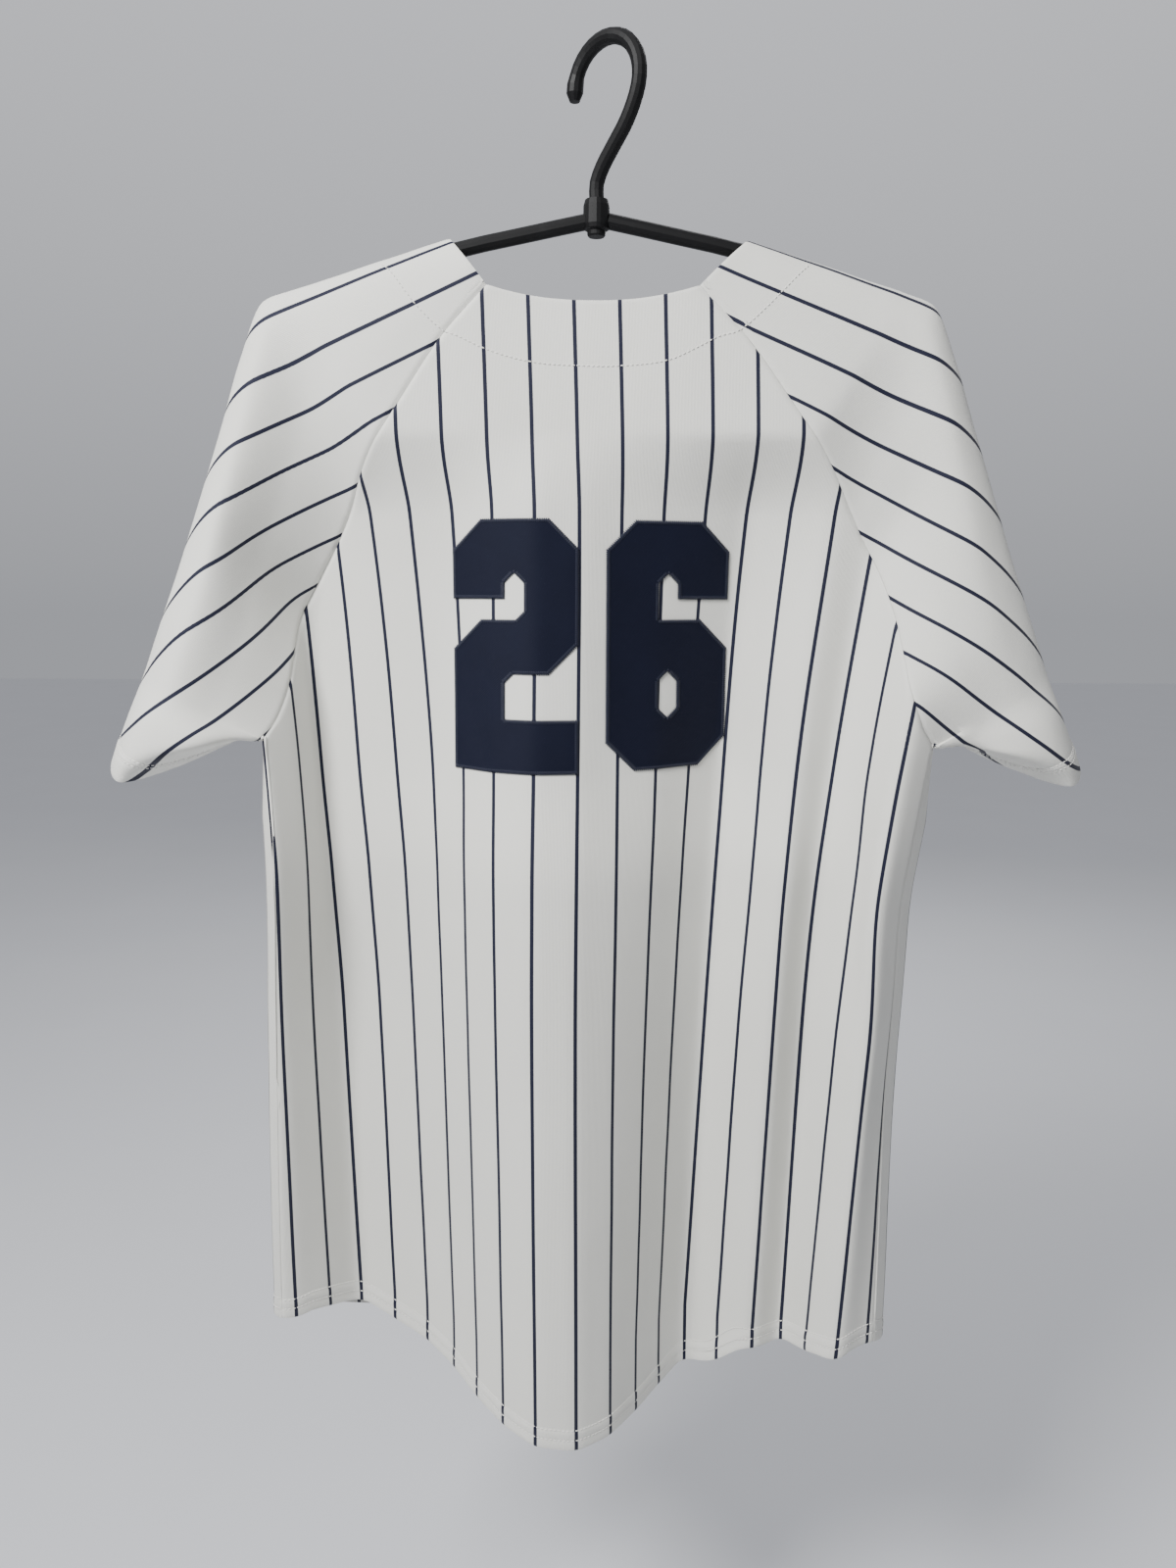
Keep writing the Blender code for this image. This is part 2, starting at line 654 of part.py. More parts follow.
def back_place(grid, x, z):
    """Column and row of the back's grid, as real numbers, at a place given by its x and z."""
    row, col = RAGLAN_ROWS * 0.8, BACK_COLUMNS * 0.5
    for _ in range(12):
        here = back_facet(grid, col, row)
        right = back_facet(grid, col + 0.01, row) - here
        down = back_facet(grid, col, row + 0.01) - here
        steps = np.linalg.solve(np.array(((right[0], down[0]), (right[2], down[2]))),
                                np.array((x - here[0], z - here[2]))) * 0.01
        col += float(np.clip(steps[0], -3, 3))
        row += float(np.clip(steps[1], -3, 3))
    return col, row


def back_facet(grid, col, row):
    """A value on the flat triangles of a grid, which are cut from upper left to lower right."""
    j = min(max(int(math.floor(col + 1e-7)), 0), grid.shape[1] - 2)
    i = min(max(int(math.floor(row + 1e-7)), 0), grid.shape[0] - 2)
    a, b = col - j, row - i
    if b >= a:
        return (1 - b) * grid[i, j] + (b - a) * grid[i + 1, j] + a * grid[i + 1, j + 1]
    return (1 - a) * grid[i, j] + (a - b) * grid[i, j + 1] + b * grid[i + 1, j + 1]


def numeral(name, outlines, left_x, grid, normal):
    """A numeral cut along the edges of the back's own triangles and laid on them."""
    places = [[back_place(grid, left_x + x, NUMERAL_BASE_Z + z) for x, z in outline]
              for outline in outlines]
    flat = bmesh.new()
    verts = [flat.verts.new((col, row, 0.0)) for outline in places for col, row in outline]
    for face in tessellate_polygon([[Vector((col, row, 0.0)) for col, row in o] for o in places]):
        flat.faces.new([verts[k] for k in face])
    cols = [v.co.x for v in verts]
    rows = [v.co.y for v in verts]
    families = (
        (Vector((1, 0, 0)), min(cols), max(cols)),
        (Vector((0, 1, 0)), min(rows), max(rows)),
        (Vector((1, -1, 0)), min(cols) - max(rows), max(cols) - min(rows)),
    )
    for way, low, high in families:
        for line in range(math.ceil(low), math.floor(high) + 1):
            bmesh.ops.bisect_plane(flat, geom=flat.verts[:] + flat.edges[:] + flat.faces[:], dist=1e-5,
                                   plane_co=way * (line / way.length_squared), plane_no=way)
    bmesh.ops.remove_doubles(flat, verts=flat.verts[:], dist=2e-4)
    bmesh.ops.triangulate(flat, faces=flat.faces[:])
    flat.verts.index_update()
    count = len(flat.verts)
    points = []
    for height in TWILL:
        for v in flat.verts:
            out = back_facet(normal, v.co.x, v.co.y)
            points.append(back_facet(grid, v.co.x, v.co.y) + out / np.linalg.norm(out) * height)
    faces = []
    for face in flat.faces:
        a, b, c = (v.index for v in face.verts)
        faces.append((a + count, b + count, c + count))
        faces.append((a, c, b))
    for edge in flat.edges:
        if len(edge.link_faces) == 1:
            loop = edge.link_loops[0]
            a, b = loop.vert.index, loop.link_loop_next.vert.index
            faces.append((a, b, b + count))
            faces.append((a, b + count, a + count))
    flat.free()
    return mesh_object(name, points, faces, flat=True)


# Turned and swept pieces
def turned(name, profile, centre, axis, sides):
    """A solid turned about an axis through a centre; the profile starts and ends on the axis."""
    axis = Vector(axis).normalized()
    turn = axis.to_track_quat("Z", "Y")
    points = []
    for radius, height in profile[1:-1]:
        for k in range(sides):
            angle = 2 * math.pi * k / sides
            points.append(Vector(centre) + turn @ Vector((radius * math.cos(angle),
                                                          radius * math.sin(angle), height)))
    rings = len(profile) - 2
    base, top = len(points), len(points) + 1
    points.append(Vector(centre) + axis * profile[0][1])
    points.append(Vector(centre) + axis * profile[-1][1])
    faces = []
    for k in range(sides):
        after = (k + 1) % sides
        faces.append((base, after, k))
        faces.append((top, (rings - 1) * sides + k, (rings - 1) * sides + after))
        for r in range(rings - 1):
            low, high = r * sides, (r + 1) * sides
            faces.append((low + k, low + after, high + after))
            faces.append((low + k, high + after, high + k))
    return mesh_object(name, points, faces)


def swept(name, path, radii, sides):
    """A round bar along a path, its ends closed by flat caps."""
    path = [Vector(p) for p in path]
    ways = [(path[min(i + 1, len(path) - 1)] - path[max(i - 1, 0)]).normalized() for i in range(len(path))]
    side = ways[0].orthogonal().normalized()
    points = []
    for p, way, radius in zip(path, ways, radii):
        side = (side - way * side.dot(way)).normalized()
        other = way.cross(side)
        for k in range(sides):
            angle = 2 * math.pi * k / sides
            points.append(p + (side * math.cos(angle) + other * math.sin(angle)) * radius)
    faces = []
    for r in range(len(path) - 1):
        for k in range(sides):
            after = (k + 1) % sides
            low, high = r * sides, (r + 1) * sides
            faces.append((low + k, low + after, high + after))
            faces.append((low + k, high + after, high + k))
    for first in (0, (len(path) - 1) * sides):
        for k in range(1, sides - 1):
            faces.append((first, first + k, first + k + 1))
    return mesh_object(name, points, faces)


def buttons(grid, normal):
    """Buttons down the middle of the left front, each just clear of the cloth."""
    made = []
    for number in range(BUTTONS):
        z = BUTTON_TOP_Z - number * BUTTON_PITCH
        centre = front_point(0.0, z)
        distance = np.linalg.norm(grid - centre, axis=2)
        axis = normal[np.unravel_index(np.argmin(distance), distance.shape)]
        seat = centre + axis * BUTTON_LIFT
        made.append(turned("button_%d" % (number + 1), BUTTON_PROFILE, seat, axis, 12))
    return made


def hanger():
    """Two arms and a turned hub moulded as one, and the steel hook in its black sleeve."""
    parts = []
    for side in (-1, 1):
        path = curve_through([(side * x, 0.0, z) for x, z in ARM_PATH], np.linspace(0, 1, 10))
        radii = [ARM_RADIUS] * 9 + [ARM_RADIUS * 0.6]
        parts.append(swept("arm", path, radii, 12))
    hub = turned("hanger_arms", HUB_PROFILE, (HUB_X, 0.0, 0.0), (0.0, 0.0, 1.0), 20)
    for part in parts:
        union = hub.modifiers.new("join " + part.name, "BOOLEAN")
        union.operation = "UNION"
        union.object = part
        part.hide_render = True
        part.display_type = "WIRE"

    across = Vector((math.cos(HOOK_TURN), -math.sin(HOOK_TURN), 0.0))
    up = Vector((0.0, 0.0, 1.0))
    bend_z = HOOK_RADIUS - HOOK_BEND
    line = [along2(across, up, out, z) for out, z in HOOK_SHANK]
    for k in range(13):
        angle = math.pi * k / 12
        line.append(along2(across, up, HOOK_OFFSET + HOOK_BEND * math.cos(angle),
                           bend_z + HOOK_BEND * math.sin(angle)))
    line.append(along2(across, up, HOOK_OFFSET - HOOK_BEND, bend_z - HOOK_TIP_DROP))
    line = [Vector(p) + Vector((HUB_X, 0.0, 0.0)) for p in curve_through(line, np.linspace(0, 1, 34))]
    radii = [HOOK_RADIUS] * 31 + [HOOK_TIP_RADIUS, HOOK_TIP_RADIUS, HOOK_TIP_RADIUS * 0.6]
    hook = swept("hanger_hook", line, radii, 12)
    return hub, hook, parts


def along2(across, up, out, z):
    return tuple(across * out + up * z)


def build():
    for obj in list(bpy.data.objects):
        bpy.data.objects.remove(obj, do_unlink=True)
    cloth = material("double_knit", OFF_WHITE, 0.85)
    twill = material("twill", NAVY, 0.7)
    plastic = material("hanger_plastic", BLACK, 0.5)
    button = material("button_resin", BUTTON_WHITE, 0.3)

    panels, grids, normals = cloth_pieces()
    pieces = [(panel, cloth) for panel in panels]
    for (name, outlines), left in zip(numeral_outlines().items(), NUMERAL_LEFT_X):
        obj = numeral(name, outlines, left, grids["back_panel"], normals["back_panel"])
        pieces.append((obj, twill))
    for obj in buttons(grids["front_panel_left"], normals["front_panel_left"]):
        pieces.append((obj, button))
    hub, hook, arms = hanger()
    pieces += [(hub, plastic), (hook, plastic)] + [(arm, plastic) for arm in arms]

    seat = Vector((HUB_X + HOOK_OFFSET * math.cos(HOOK_TURN), -HOOK_OFFSET * math.sin(HOOK_TURN), 0.0))
    for obj, finish in pieces:
        obj.data.materials.append(finish)
        obj.location = -seat


build()
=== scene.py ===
import json
import math

import bmesh
import bpy
import numpy as np
from mathutils import Matrix, Vector, noise
from mathutils.bvhtree import BVHTree
from mathutils.geometry import tessellate_polygon

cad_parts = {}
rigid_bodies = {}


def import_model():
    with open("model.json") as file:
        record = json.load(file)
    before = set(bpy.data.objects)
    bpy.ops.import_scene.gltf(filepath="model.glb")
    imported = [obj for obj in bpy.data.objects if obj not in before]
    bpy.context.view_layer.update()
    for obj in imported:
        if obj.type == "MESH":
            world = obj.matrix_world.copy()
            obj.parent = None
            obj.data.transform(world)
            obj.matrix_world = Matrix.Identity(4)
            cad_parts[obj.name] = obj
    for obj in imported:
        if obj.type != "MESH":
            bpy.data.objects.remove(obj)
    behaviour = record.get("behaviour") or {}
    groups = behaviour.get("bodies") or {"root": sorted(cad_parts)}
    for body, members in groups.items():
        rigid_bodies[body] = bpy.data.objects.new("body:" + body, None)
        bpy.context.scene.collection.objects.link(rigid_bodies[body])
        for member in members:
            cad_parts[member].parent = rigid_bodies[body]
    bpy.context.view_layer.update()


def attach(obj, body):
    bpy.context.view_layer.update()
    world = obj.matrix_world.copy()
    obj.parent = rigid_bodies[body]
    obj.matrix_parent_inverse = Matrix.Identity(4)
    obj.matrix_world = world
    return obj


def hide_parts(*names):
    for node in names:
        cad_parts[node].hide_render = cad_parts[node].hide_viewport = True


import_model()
for node in bpy.data.objects:
    node.select_set(False)


# Back
# One piece of polyester double knit with its pinstripes along the grain, cut with a dropped tail. It hangs
# from the raglan seams, so it falls in upright folds. It is overlocked to the sleeves and the fronts.
SEAT = np.array((0.004245, -0.004821, 0.0))  # the hook's seat, from the garment's own middle
CLOTH_WALL = 0.0013
SEAM_GAP = 0.0002
SEAM_DIP, SEAM_DIP_WIDTH = 0.0011, 0.0016  # the cloth rolls into each seam
HEM_RISE, HEM_RISE_START, HEM_RISE_WIDTH = 0.0006, 0.001, 0.0015
BODY_HEM = 0.015
BODY_STITCHES = (0.0075, 0.015)  # rows of stitches, up from the hem's edge

UNDERARM_Z = -0.432
SIDE_HEM_Z = -0.867
BACK_TAIL_Z = -0.931
UNDERARM_HALF = 0.2725
HEM_HALF = 0.284

STRIP = 0.029
FIRST_STRIP = -10.42
BACK_STRIPE_START = 0.42  # stripes from the middle of the back to the first one
FOLD_HEIGHTS = (-0.235, -0.285, -0.450, -0.530, -0.640, -0.870)
FOLDS = (
    # slope in plan of each upright strip of the cloth, in degrees: shoulder, chest, ribs, waist, hip
    (20, 34, 14, 10, 5),
    (40, 54, 60, 58, 46),
    (60, 80, 74, 58, 52),
    (-10, -16, -16, -16, -22),
    (-22, -16, -18, -24, -22),
    (-18, -22, -32, -36, -40),
    (-10, -38, -46, -48, -50),
    (-22, -42, -44, -44, -46),
    (-18, -22, -26, -32, -36),
    (8, 8, 4, 0, -2),
    (18, 26, 26, 28, 34),
    (16, 24, 34, 40, 50),
    (16, 36, 42, 46, 52),
    (16, 32, 34, 38, 48),
    (-14, -36, -38, -44, -42),
    (-14, -48, -54, -46, -38),
    (8, 30, 42, 48, 44),
    (-40, -54, -40, -52, -68),
    (-50, -66, -80, -58, -58),
    (24, 34, 44, 54, 36),
    (0, 24, 20, 20, 12),
)
FOLD_ROUNDING = 23
CENTRE_BACK = (
    # z, x, y
    (-0.150, -0.0035, -0.016),
    (-0.235, -0.0010, -0.020),
    (-0.285, 0.0000, -0.021),
    (-0.450, -0.0010, -0.034),
    (-0.530, -0.0015, -0.050),
    (-0.640, -0.0020, -0.052),
    (-0.950, -0.0010, -0.052),
)
BACK_TAIL_HALF, BACK_TAIL_FULLNESS = 0.262, 0.62
BACK_HEM_LIFT, BACK_HEM_LIFT_U, BACK_HEM_LIFT_WIDTH = 0.015, 0.158, 0.022
RAGLAN_BACK = (
    # height, and distance from the middle along the cloth
    (-0.143, 0.0675),
    (-0.174, 0.0970),
    (-0.218, 0.1285),
    (-0.260, 0.1580),
    (-0.303, 0.1860),
    (-0.345, 0.2145),
    (-0.395, 0.2440),
    (-0.420, 0.2600),
    (UNDERARM_Z, UNDERARM_HALF),
)
NECK_BACK_LOW_Z, NECK_BACK_FULLNESS = -0.1525, 2.2
LEVELS = np.arange(-0.962, -0.100, 0.002)  # heights at which plans of the body are worked out
CLOTH_U = np.arange(-0.310, 0.3105, 0.001)


def column(table, i):
    return np.array([row[i] for row in table], float)


def smooth(xs, ys, x):
    """Monotone cubic through a table, flat beyond its ends."""
    xs, ys = np.asarray(xs, float), np.asarray(ys, float)
    if xs[0] > xs[-1]:
        xs, ys = xs[::-1], ys[::-1]
    x = np.clip(x, xs[0], xs[-1])
    step = np.diff(xs)
    slope = np.diff(ys) / step
    tangent = np.zeros_like(ys)
    for i in range(1, len(xs) - 1):
        if slope[i - 1] * slope[i] > 0:
            before = 2 * step[i] + step[i - 1]
            after = step[i] + 2 * step[i - 1]
            tangent[i] = (before + after) / (before / slope[i - 1] + after / slope[i])
    tangent[0], tangent[-1] = slope[0], slope[-1]
    i = np.clip(np.searchsorted(xs, x, side="right") - 1, 0, len(xs) - 2)
    t = (x - xs[i]) / step[i]
    return ((1 + 2 * t) * (1 - t) ** 2 * ys[i] + t * (1 - t) ** 2 * step[i] * tangent[i]
            + t * t * (3 - 2 * t) * ys[i + 1] + t * t * (t - 1) * step[i] * tangent[i + 1])


def read(table, i, x):
    """Column i of a table at x, which is measured along its first column."""
    return smooth(column(table, 0), column(table, i), x)


def run_of(points):
    """Distance along a line from its first point."""
    return np.concatenate(([0.0], np.cumsum(np.linalg.norm(np.diff(points, axis=0), axis=1))))


def plan_point(plans, stations, u, z):
    """Reads plans drawn at LEVELS, as x and y at stations along the cloth, at any place and height."""
    across = (np.asarray(u) - stations[0]) / (stations[1] - stations[0])
    up = (np.asarray(z) - LEVELS[0]) / (LEVELS[1] - LEVELS[0])
    j = np.clip(np.floor(across).astype(int), 0, plans.shape[1] - 2)
    i = np.clip(np.floor(up).astype(int), 0, plans.shape[0] - 2)
    b, a = (across - j)[..., None], (up - i)[..., None]
    xy = ((1 - a) * ((1 - b) * plans[i, j] + b * plans[i, j + 1])
          + a * ((1 - b) * plans[i + 1, j] + b * plans[i + 1, j + 1]))
    return np.concatenate((xy, np.broadcast_to(z, xy.shape[:-1])[..., None]), axis=-1)


def back_plans():
    slopes = np.array([smooth(FOLD_HEIGHTS, (0.0,) + row, LEVELS) for row in FOLDS]).T
    strip = np.clip(np.floor(CLOTH_U / STRIP - FIRST_STRIP).astype(int), 0, len(FOLDS) - 1)
    kernel = np.hanning(FOLD_ROUNDING + 2)[1:-1]
    kernel /= kernel.sum()
    centre_x = read(CENTRE_BACK, 1, LEVELS)
    centre_y = read(CENTRE_BACK, 2, LEVELS)
    plans = np.zeros((len(LEVELS), len(CLOTH_U), 2))
    for k in range(len(LEVELS)):
        angle = np.pad(np.radians(slopes[k][strip]), FOLD_ROUNDING // 2, mode="edge")
        angle = np.convolve(angle, kernel, mode="valid")
        middle = (angle[1:] + angle[:-1]) / 2
        run = np.diff(CLOTH_U)
        x = np.concatenate(([0.0], np.cumsum(np.cos(middle) * run)))
        y = np.concatenate(([0.0], np.cumsum(np.sin(middle) * run)))
        plans[k, :, 0] = x + centre_x[k] - np.interp(0.0, CLOTH_U, x)
        plans[k, :, 1] = y + centre_y[k] - np.interp(0.0, CLOTH_U, y)
    return plans


BACK_PLANS = back_plans()


def back_point(u, z):
    return plan_point(BACK_PLANS, CLOTH_U, u, z)


def raglan_half(z):
    return read(RAGLAN_BACK, 1, z)


def side_half(z):
    share = np.clip((UNDERARM_Z - z) / (UNDERARM_Z - SIDE_HEM_Z), 0, 1)
    return UNDERARM_HALF + (HEM_HALF - UNDERARM_HALF) * share


def tail(share, tail_z, fullness):
    """Height of a shirt-tail hem: share is 0 in the middle and 1 at the side seam."""
    swing = 0.5 + 0.5 * np.cos(math.pi * np.minimum(np.abs(share), 1.0))
    return SIDE_HEM_Z + (tail_z - SIDE_HEM_Z) * swing ** fullness


def hem_back_z(u):
    lift = BACK_HEM_LIFT * np.exp(-((u - BACK_HEM_LIFT_U) / BACK_HEM_LIFT_WIDTH) ** 2)
    return tail(u / BACK_TAIL_HALF, BACK_TAIL_Z, BACK_TAIL_FULLNESS) + lift


def neck_back_z(u):
    top_z, top_u = RAGLAN_BACK[0]
    share = np.minimum(np.abs(u) / top_u, 1.0)
    return NECK_BACK_LOW_Z + (top_z - NECK_BACK_LOW_Z) * share ** NECK_BACK_FULLNESS


# Rows and columns of every panel: close together beside seams, edges and rows of stitches
EDGE_STEPS = np.array((0.0, 0.0007, 0.0016, 0.0028, 0.0045))
SEAM_SHARES = np.concatenate(((0.0, 0.0026, 0.0060, 0.0105), np.linspace(0.017, 1.0, 71)))
HEM_STEPS = (0.0205, 0.0165, 0.0150, 0.0138, 0.0115, 0.0095, 0.0083, 0.0075, 0.0067, 0.0050, 0.0030, 0.0016,
             0.0007, 0.0)
HEM_START = 0.025
LOWER_SHARES = np.linspace(0, 1, 116)[1:]
BACK_COLUMNS, FRONT_COLUMNS, SLEEVE_COLUMNS = 132, 62, 92
STEEPEST_RISE = 1.7
FIRST_EVEN_COLUMN = 0.0070  # from the edge
UPPER = len(SEAM_SHARES)


def spaced(length, count):
    """Shares of a row of some length, close together near its two ends."""
    near = EDGE_STEPS / length
    inner = np.linspace(FIRST_EVEN_COLUMN / length, 1 - FIRST_EVEN_COLUMN / length, count)
    return np.concatenate((near, inner, 1 - near[::-1]))


def seam_z(share):
    return RAGLAN_BACK[0][0] + (UNDERARM_Z - RAGLAN_BACK[0][0]) * share


def lower_rows(hem_z, rise):
    """Heights of the rows below the underarm; rise is how much longer a sloping hem's steps are upright."""
    start = hem_z + HEM_START * rise
    rows = [UNDERARM_Z + (start - UNDERARM_Z) * share for share in LOWER_SHARES]
    return rows + [hem_z + step * rise for step in HEM_STEPS]


def back_grid():
    rows, along_cloth = [], []
    for share in SEAM_SHARES:
        z = seam_z(share)
        half = raglan_half(z)
        s = 2 * spaced(2 * half, BACK_COLUMNS) - 1
        dip = (1 - share) ** 2 * (neck_back_z(s * RAGLAN_BACK[0][1]) - RAGLAN_BACK[0][0])
        rows.append(back_point(s * half, z + dip))
        along_cloth.append(s * half)
    s = 2 * spaced(2 * HEM_HALF, BACK_COLUMNS) - 1
    hem = hem_back_z(s * HEM_HALF)
    rise = np.minimum(np.sqrt(1 + np.gradient(hem, s * HEM_HALF) ** 2), STEEPEST_RISE)
    for z in lower_rows(hem, rise):
        half = side_half(z)
        rows.append(back_point(s * half, z))
        along_cloth.append(s * half)
    return np.array(rows), np.array(along_cloth)


def run_along(grid, axis):
    """Distance along the cloth from the first row or column."""
    step = np.linalg.norm(np.diff(grid, axis=axis), axis=2)
    lead = [(0, 0), (0, 0)]
    lead[axis] = (1, 0)
    return np.pad(np.cumsum(step, axis=axis), lead)


def grid_normals(grid, outward):
    """Unit normals of a grid, turned so that the one in the middle agrees with outward."""
    normal = np.cross(np.gradient(grid, axis=1), np.gradient(grid, axis=0))
    normal /= np.linalg.norm(normal, axis=2, keepdims=True)
    middle = normal[normal.shape[0] // 2, normal.shape[1] // 2]
    return normal * np.sign(np.dot(middle, outward))


PANELS = {}


def add_panel(name, grid, stripe, outward, edges, hem, stitches):
    """Keeps a panel's surface. stripe is the stripe's number at each point, and edges says for the first and
    last columns whether they are sewn into a seam."""
    PANELS[name] = {"grid": grid, "stripe": stripe, "normal": grid_normals(grid, outward), "edges": edges,
                    "hem": hem, "stitches": stitches}


grid, along_cloth = back_grid()
add_panel("jersey_back", grid, along_cloth / STRIP + BACK_STRIPE_START, (0.0, -1.0, 0.0), ("seam", "seam"),
          BODY_HEM, BODY_STITCHES)


# Sleeves
# Each is one piece of the same double knit, folded over the shoulder, sewn to the back and to a front along
# the raglan seams and to itself under the arm. Its stripes run down and outward from the seam.
SLEEVE_LEVELS = (
    # share of seam, edge x, edge y, edge z, turn, turn y at back, turn y at front
    (0.000, 0.0955, 0.000, -0.1120, 0.008, -0.0092, 0.0092),
    (0.107, 0.1355, 0.000, -0.1248, 0.009, -0.0094, 0.0094),
    (0.215, 0.1695, 0.000, -0.1353, 0.010, -0.0100, 0.0100),
    (0.320, 0.1980, 0.000, -0.1438, 0.012, -0.0110, 0.0110),
    (0.410, 0.2160, 0.001, -0.1505, 0.016, -0.0130, 0.0140),
    (0.510, 0.2325, 0.001, -0.1860, 0.022, -0.0180, 0.0200),
    (0.610, 0.2455, 0.000, -0.2260, 0.025, -0.0220, 0.0260),
    (0.720, 0.2610, -0.002, -0.2710, 0.027, -0.0270, 0.0320),
    (0.837, 0.2765, -0.004, -0.3160, 0.028, -0.0320, 0.0380),
    (0.930, 0.2905, -0.005, -0.3540, 0.028, -0.0360, 0.0440),
    (1.000, 0.3020, -0.005, -0.3850, 0.028, -0.0390, 0.0480),
)
SLEEVE_FULLNESS = 0.003
SLEEVE_RINGS = (
    # inner, rolled edge, back corner, outer edge, front corner, front, inner front
    ((0.2360, -0.036, -0.4325), (0.252, -0.0460, -0.4300), (0.292, -0.044, -0.419),
     (0.3115, -0.006, -0.4090), (0.290, 0.0500, -0.4050), (0.262, 0.048, -0.417),
     (0.2460, 0.012, -0.4290)),
    ((0.2450, -0.016, -0.4350), (0.268, -0.0440, -0.4390), (0.306, -0.042, -0.443),
     (0.3215, -0.005, -0.4320), (0.304, 0.0540, -0.4210), (0.272, 0.052, -0.426),
     (0.2530, 0.022, -0.4320)),
    ((0.2550, 0.008, -0.4390), (0.283, -0.0080, -0.4520), (0.313, -0.036, -0.459),
     (0.3280, -0.005, -0.4480), (0.312, 0.0560, -0.4400), (0.280, 0.056, -0.437),
     (0.2600, 0.036, -0.4370)),
)
RING_UNDERARM_Y = -0.0445
RING_FOLLOWS = (0.8, 0.4, 0.0)
SLEEVE_HEM = 0.020
SLEEVE_STITCHES = (0.0165, 0.0205)
SLEEVE_HEM_START = 0.026
SLEEVE_HEM_STEPS = (0.0235, 0.0215, 0.0205, 0.0195, 0.0175, 0.0165, 0.0155, 0.0130, 0.0100, 0.0070, 0.0040,
                    0.0020, 0.0008, 0.0)
SLEEVE_LOWER_ROWS = 16
RAGLAN_FRONT = (
    # height, and share of the half front
    (-0.163, 0.300),
    (-0.200, 0.385),
    (-0.260, 0.525),
    (-0.303, 0.620),
    (-0.345, 0.715),
    (-0.395, 0.825),
    (-0.420, 0.905),
    (UNDERARM_Z, 1.0),
)
FRONT_X = (-0.195, -0.130, -0.065, 0.0, 0.065, 0.130, 0.195)
FRONT_Y = (
    # height, then y at each of the stations in FRONT_X
    (-0.150, 0.008, 0.011, 0.014, 0.015, 0.014, 0.011, 0.008),
    (-0.285, 0.024, 0.026, 0.027, 0.027, 0.025, 0.021, 0.017),
    (-0.360, 0.046, 0.045, 0.040, 0.044, 0.038, 0.036, 0.026),
    (-0.450, 0.048, 0.054, 0.048, 0.058, 0.048, 0.046, 0.030),
    (-0.640, 0.060, 0.072, 0.056, 0.070, 0.054, 0.064, 0.038),
    (-0.870, 0.066, 0.080, 0.058, 0.076, 0.054, 0.070, 0.038),
)
SIDE_ROUND = ((0.011, 0.020), (0.008, 0.044))
SIDE_FLAT_Z = (-0.485, -0.400)
FRONT_SHARES = np.linspace(-1, 1, 601)
SLOPE_LIMITS, HALVINGS = (15.0, 42.0), 30
STRIPE_LINES = {
    # number, distance out and height of a point on each stripe, and how steeply it runs down and outward
    "left": ((0, 0.0978, -0.1167, 22.0), (1, 0.0726, -0.1361, 24.3), (2, 0.0926, -0.1745, 25.7),
             (3, 0.1243, -0.2172, 27.7), (4, 0.1458, -0.2595, 29.5), (5, 0.1678, -0.3019, 30.8),
             (6, 0.1889, -0.3464, 33.0), (7, 0.2006, -0.3872, 33.5)),
    "right": ((1, 0.0755, -0.1326, 21.2), (2, 0.0761, -0.1615, 23.3), (3, 0.1168, -0.2091, 25.5),
              (4, 0.1444, -0.2498, 29.0), (5, 0.1661, -0.2925, 29.4), (6, 0.1831, -0.3329, 31.2),
              (7, 0.1983, -0.3727, 33.0), (8, 0.2092, -0.4106, 34.0)),
}


def curve_at(points, places, closed=False):
    """Places on a smooth curve through some points: 0 is the first of them, 1 the second, and so on."""
    p = np.asarray(points, float)
    gap = np.sqrt(np.linalg.norm(np.diff(p, axis=0), axis=1))
    velocity = np.zeros_like(p)
    rate = np.diff(p, axis=0) / gap[:, None]
    share = (gap[:-1] / (gap[:-1] + gap[1:]))[:, None]
    velocity[1:-1] = rate[:-1] * (1 - share) + rate[1:] * share
    velocity[0], velocity[-1] = rate[0], rate[-1]
    if closed:
        part = gap[-1] / (gap[-1] + gap[0])
        velocity[0] = velocity[-1] = rate[-1] * (1 - part) + rate[0] * part
    i = np.clip(np.floor(places).astype(int), 0, len(p) - 2)
    t = (places - i)[:, None]
    step = gap[i][:, None]
    return ((1 + 2 * t) * (1 - t) ** 2 * p[i] + t * (1 - t) ** 2 * step * velocity[i]
            + t * t * (3 - 2 * t) * p[i + 1] + t * t * (t - 1) * step * velocity[i + 1])


def front_plans():
    """Plans of the front from the left side seam round to the right one, and half their lengths."""
    plans = np.zeros((len(LEVELS), len(FRONT_SHARES), 2))
    half_length = np.zeros(len(LEVELS))
    for k, z in enumerate(LEVELS):
        at = min(z, UNDERARM_Z)
        left, right = back_point(np.array((-1.0, 1.0)) * side_half(at), np.array((at, at)))
        swell = smooth(SIDE_FLAT_Z, (1.0, 0.15), z)
        points = [left[:2]]
        points += [(left[0] - out * swell, left[1] + behind) for out, behind in SIDE_ROUND]
        points += [(x, read(FRONT_Y, i + 1, z)) for i, x in enumerate(FRONT_X)]
        points += [(right[0] + out * swell, right[1] + behind) for out, behind in reversed(SIDE_ROUND)]
        points.append(right[:2])
        fine = curve_at(points, np.linspace(0, len(points) - 1, 24 * (len(points) - 1) + 1))
        run = run_of(fine)
        for axis in range(2):
            plans[k, :, axis] = np.interp((FRONT_SHARES + 1) / 2 * run[-1], run, fine[:, axis])
        half_length[k] = run[-1] / 2
    return plans, half_length


FRONT_PLANS, FRONT_HALF_LENGTH = front_plans()


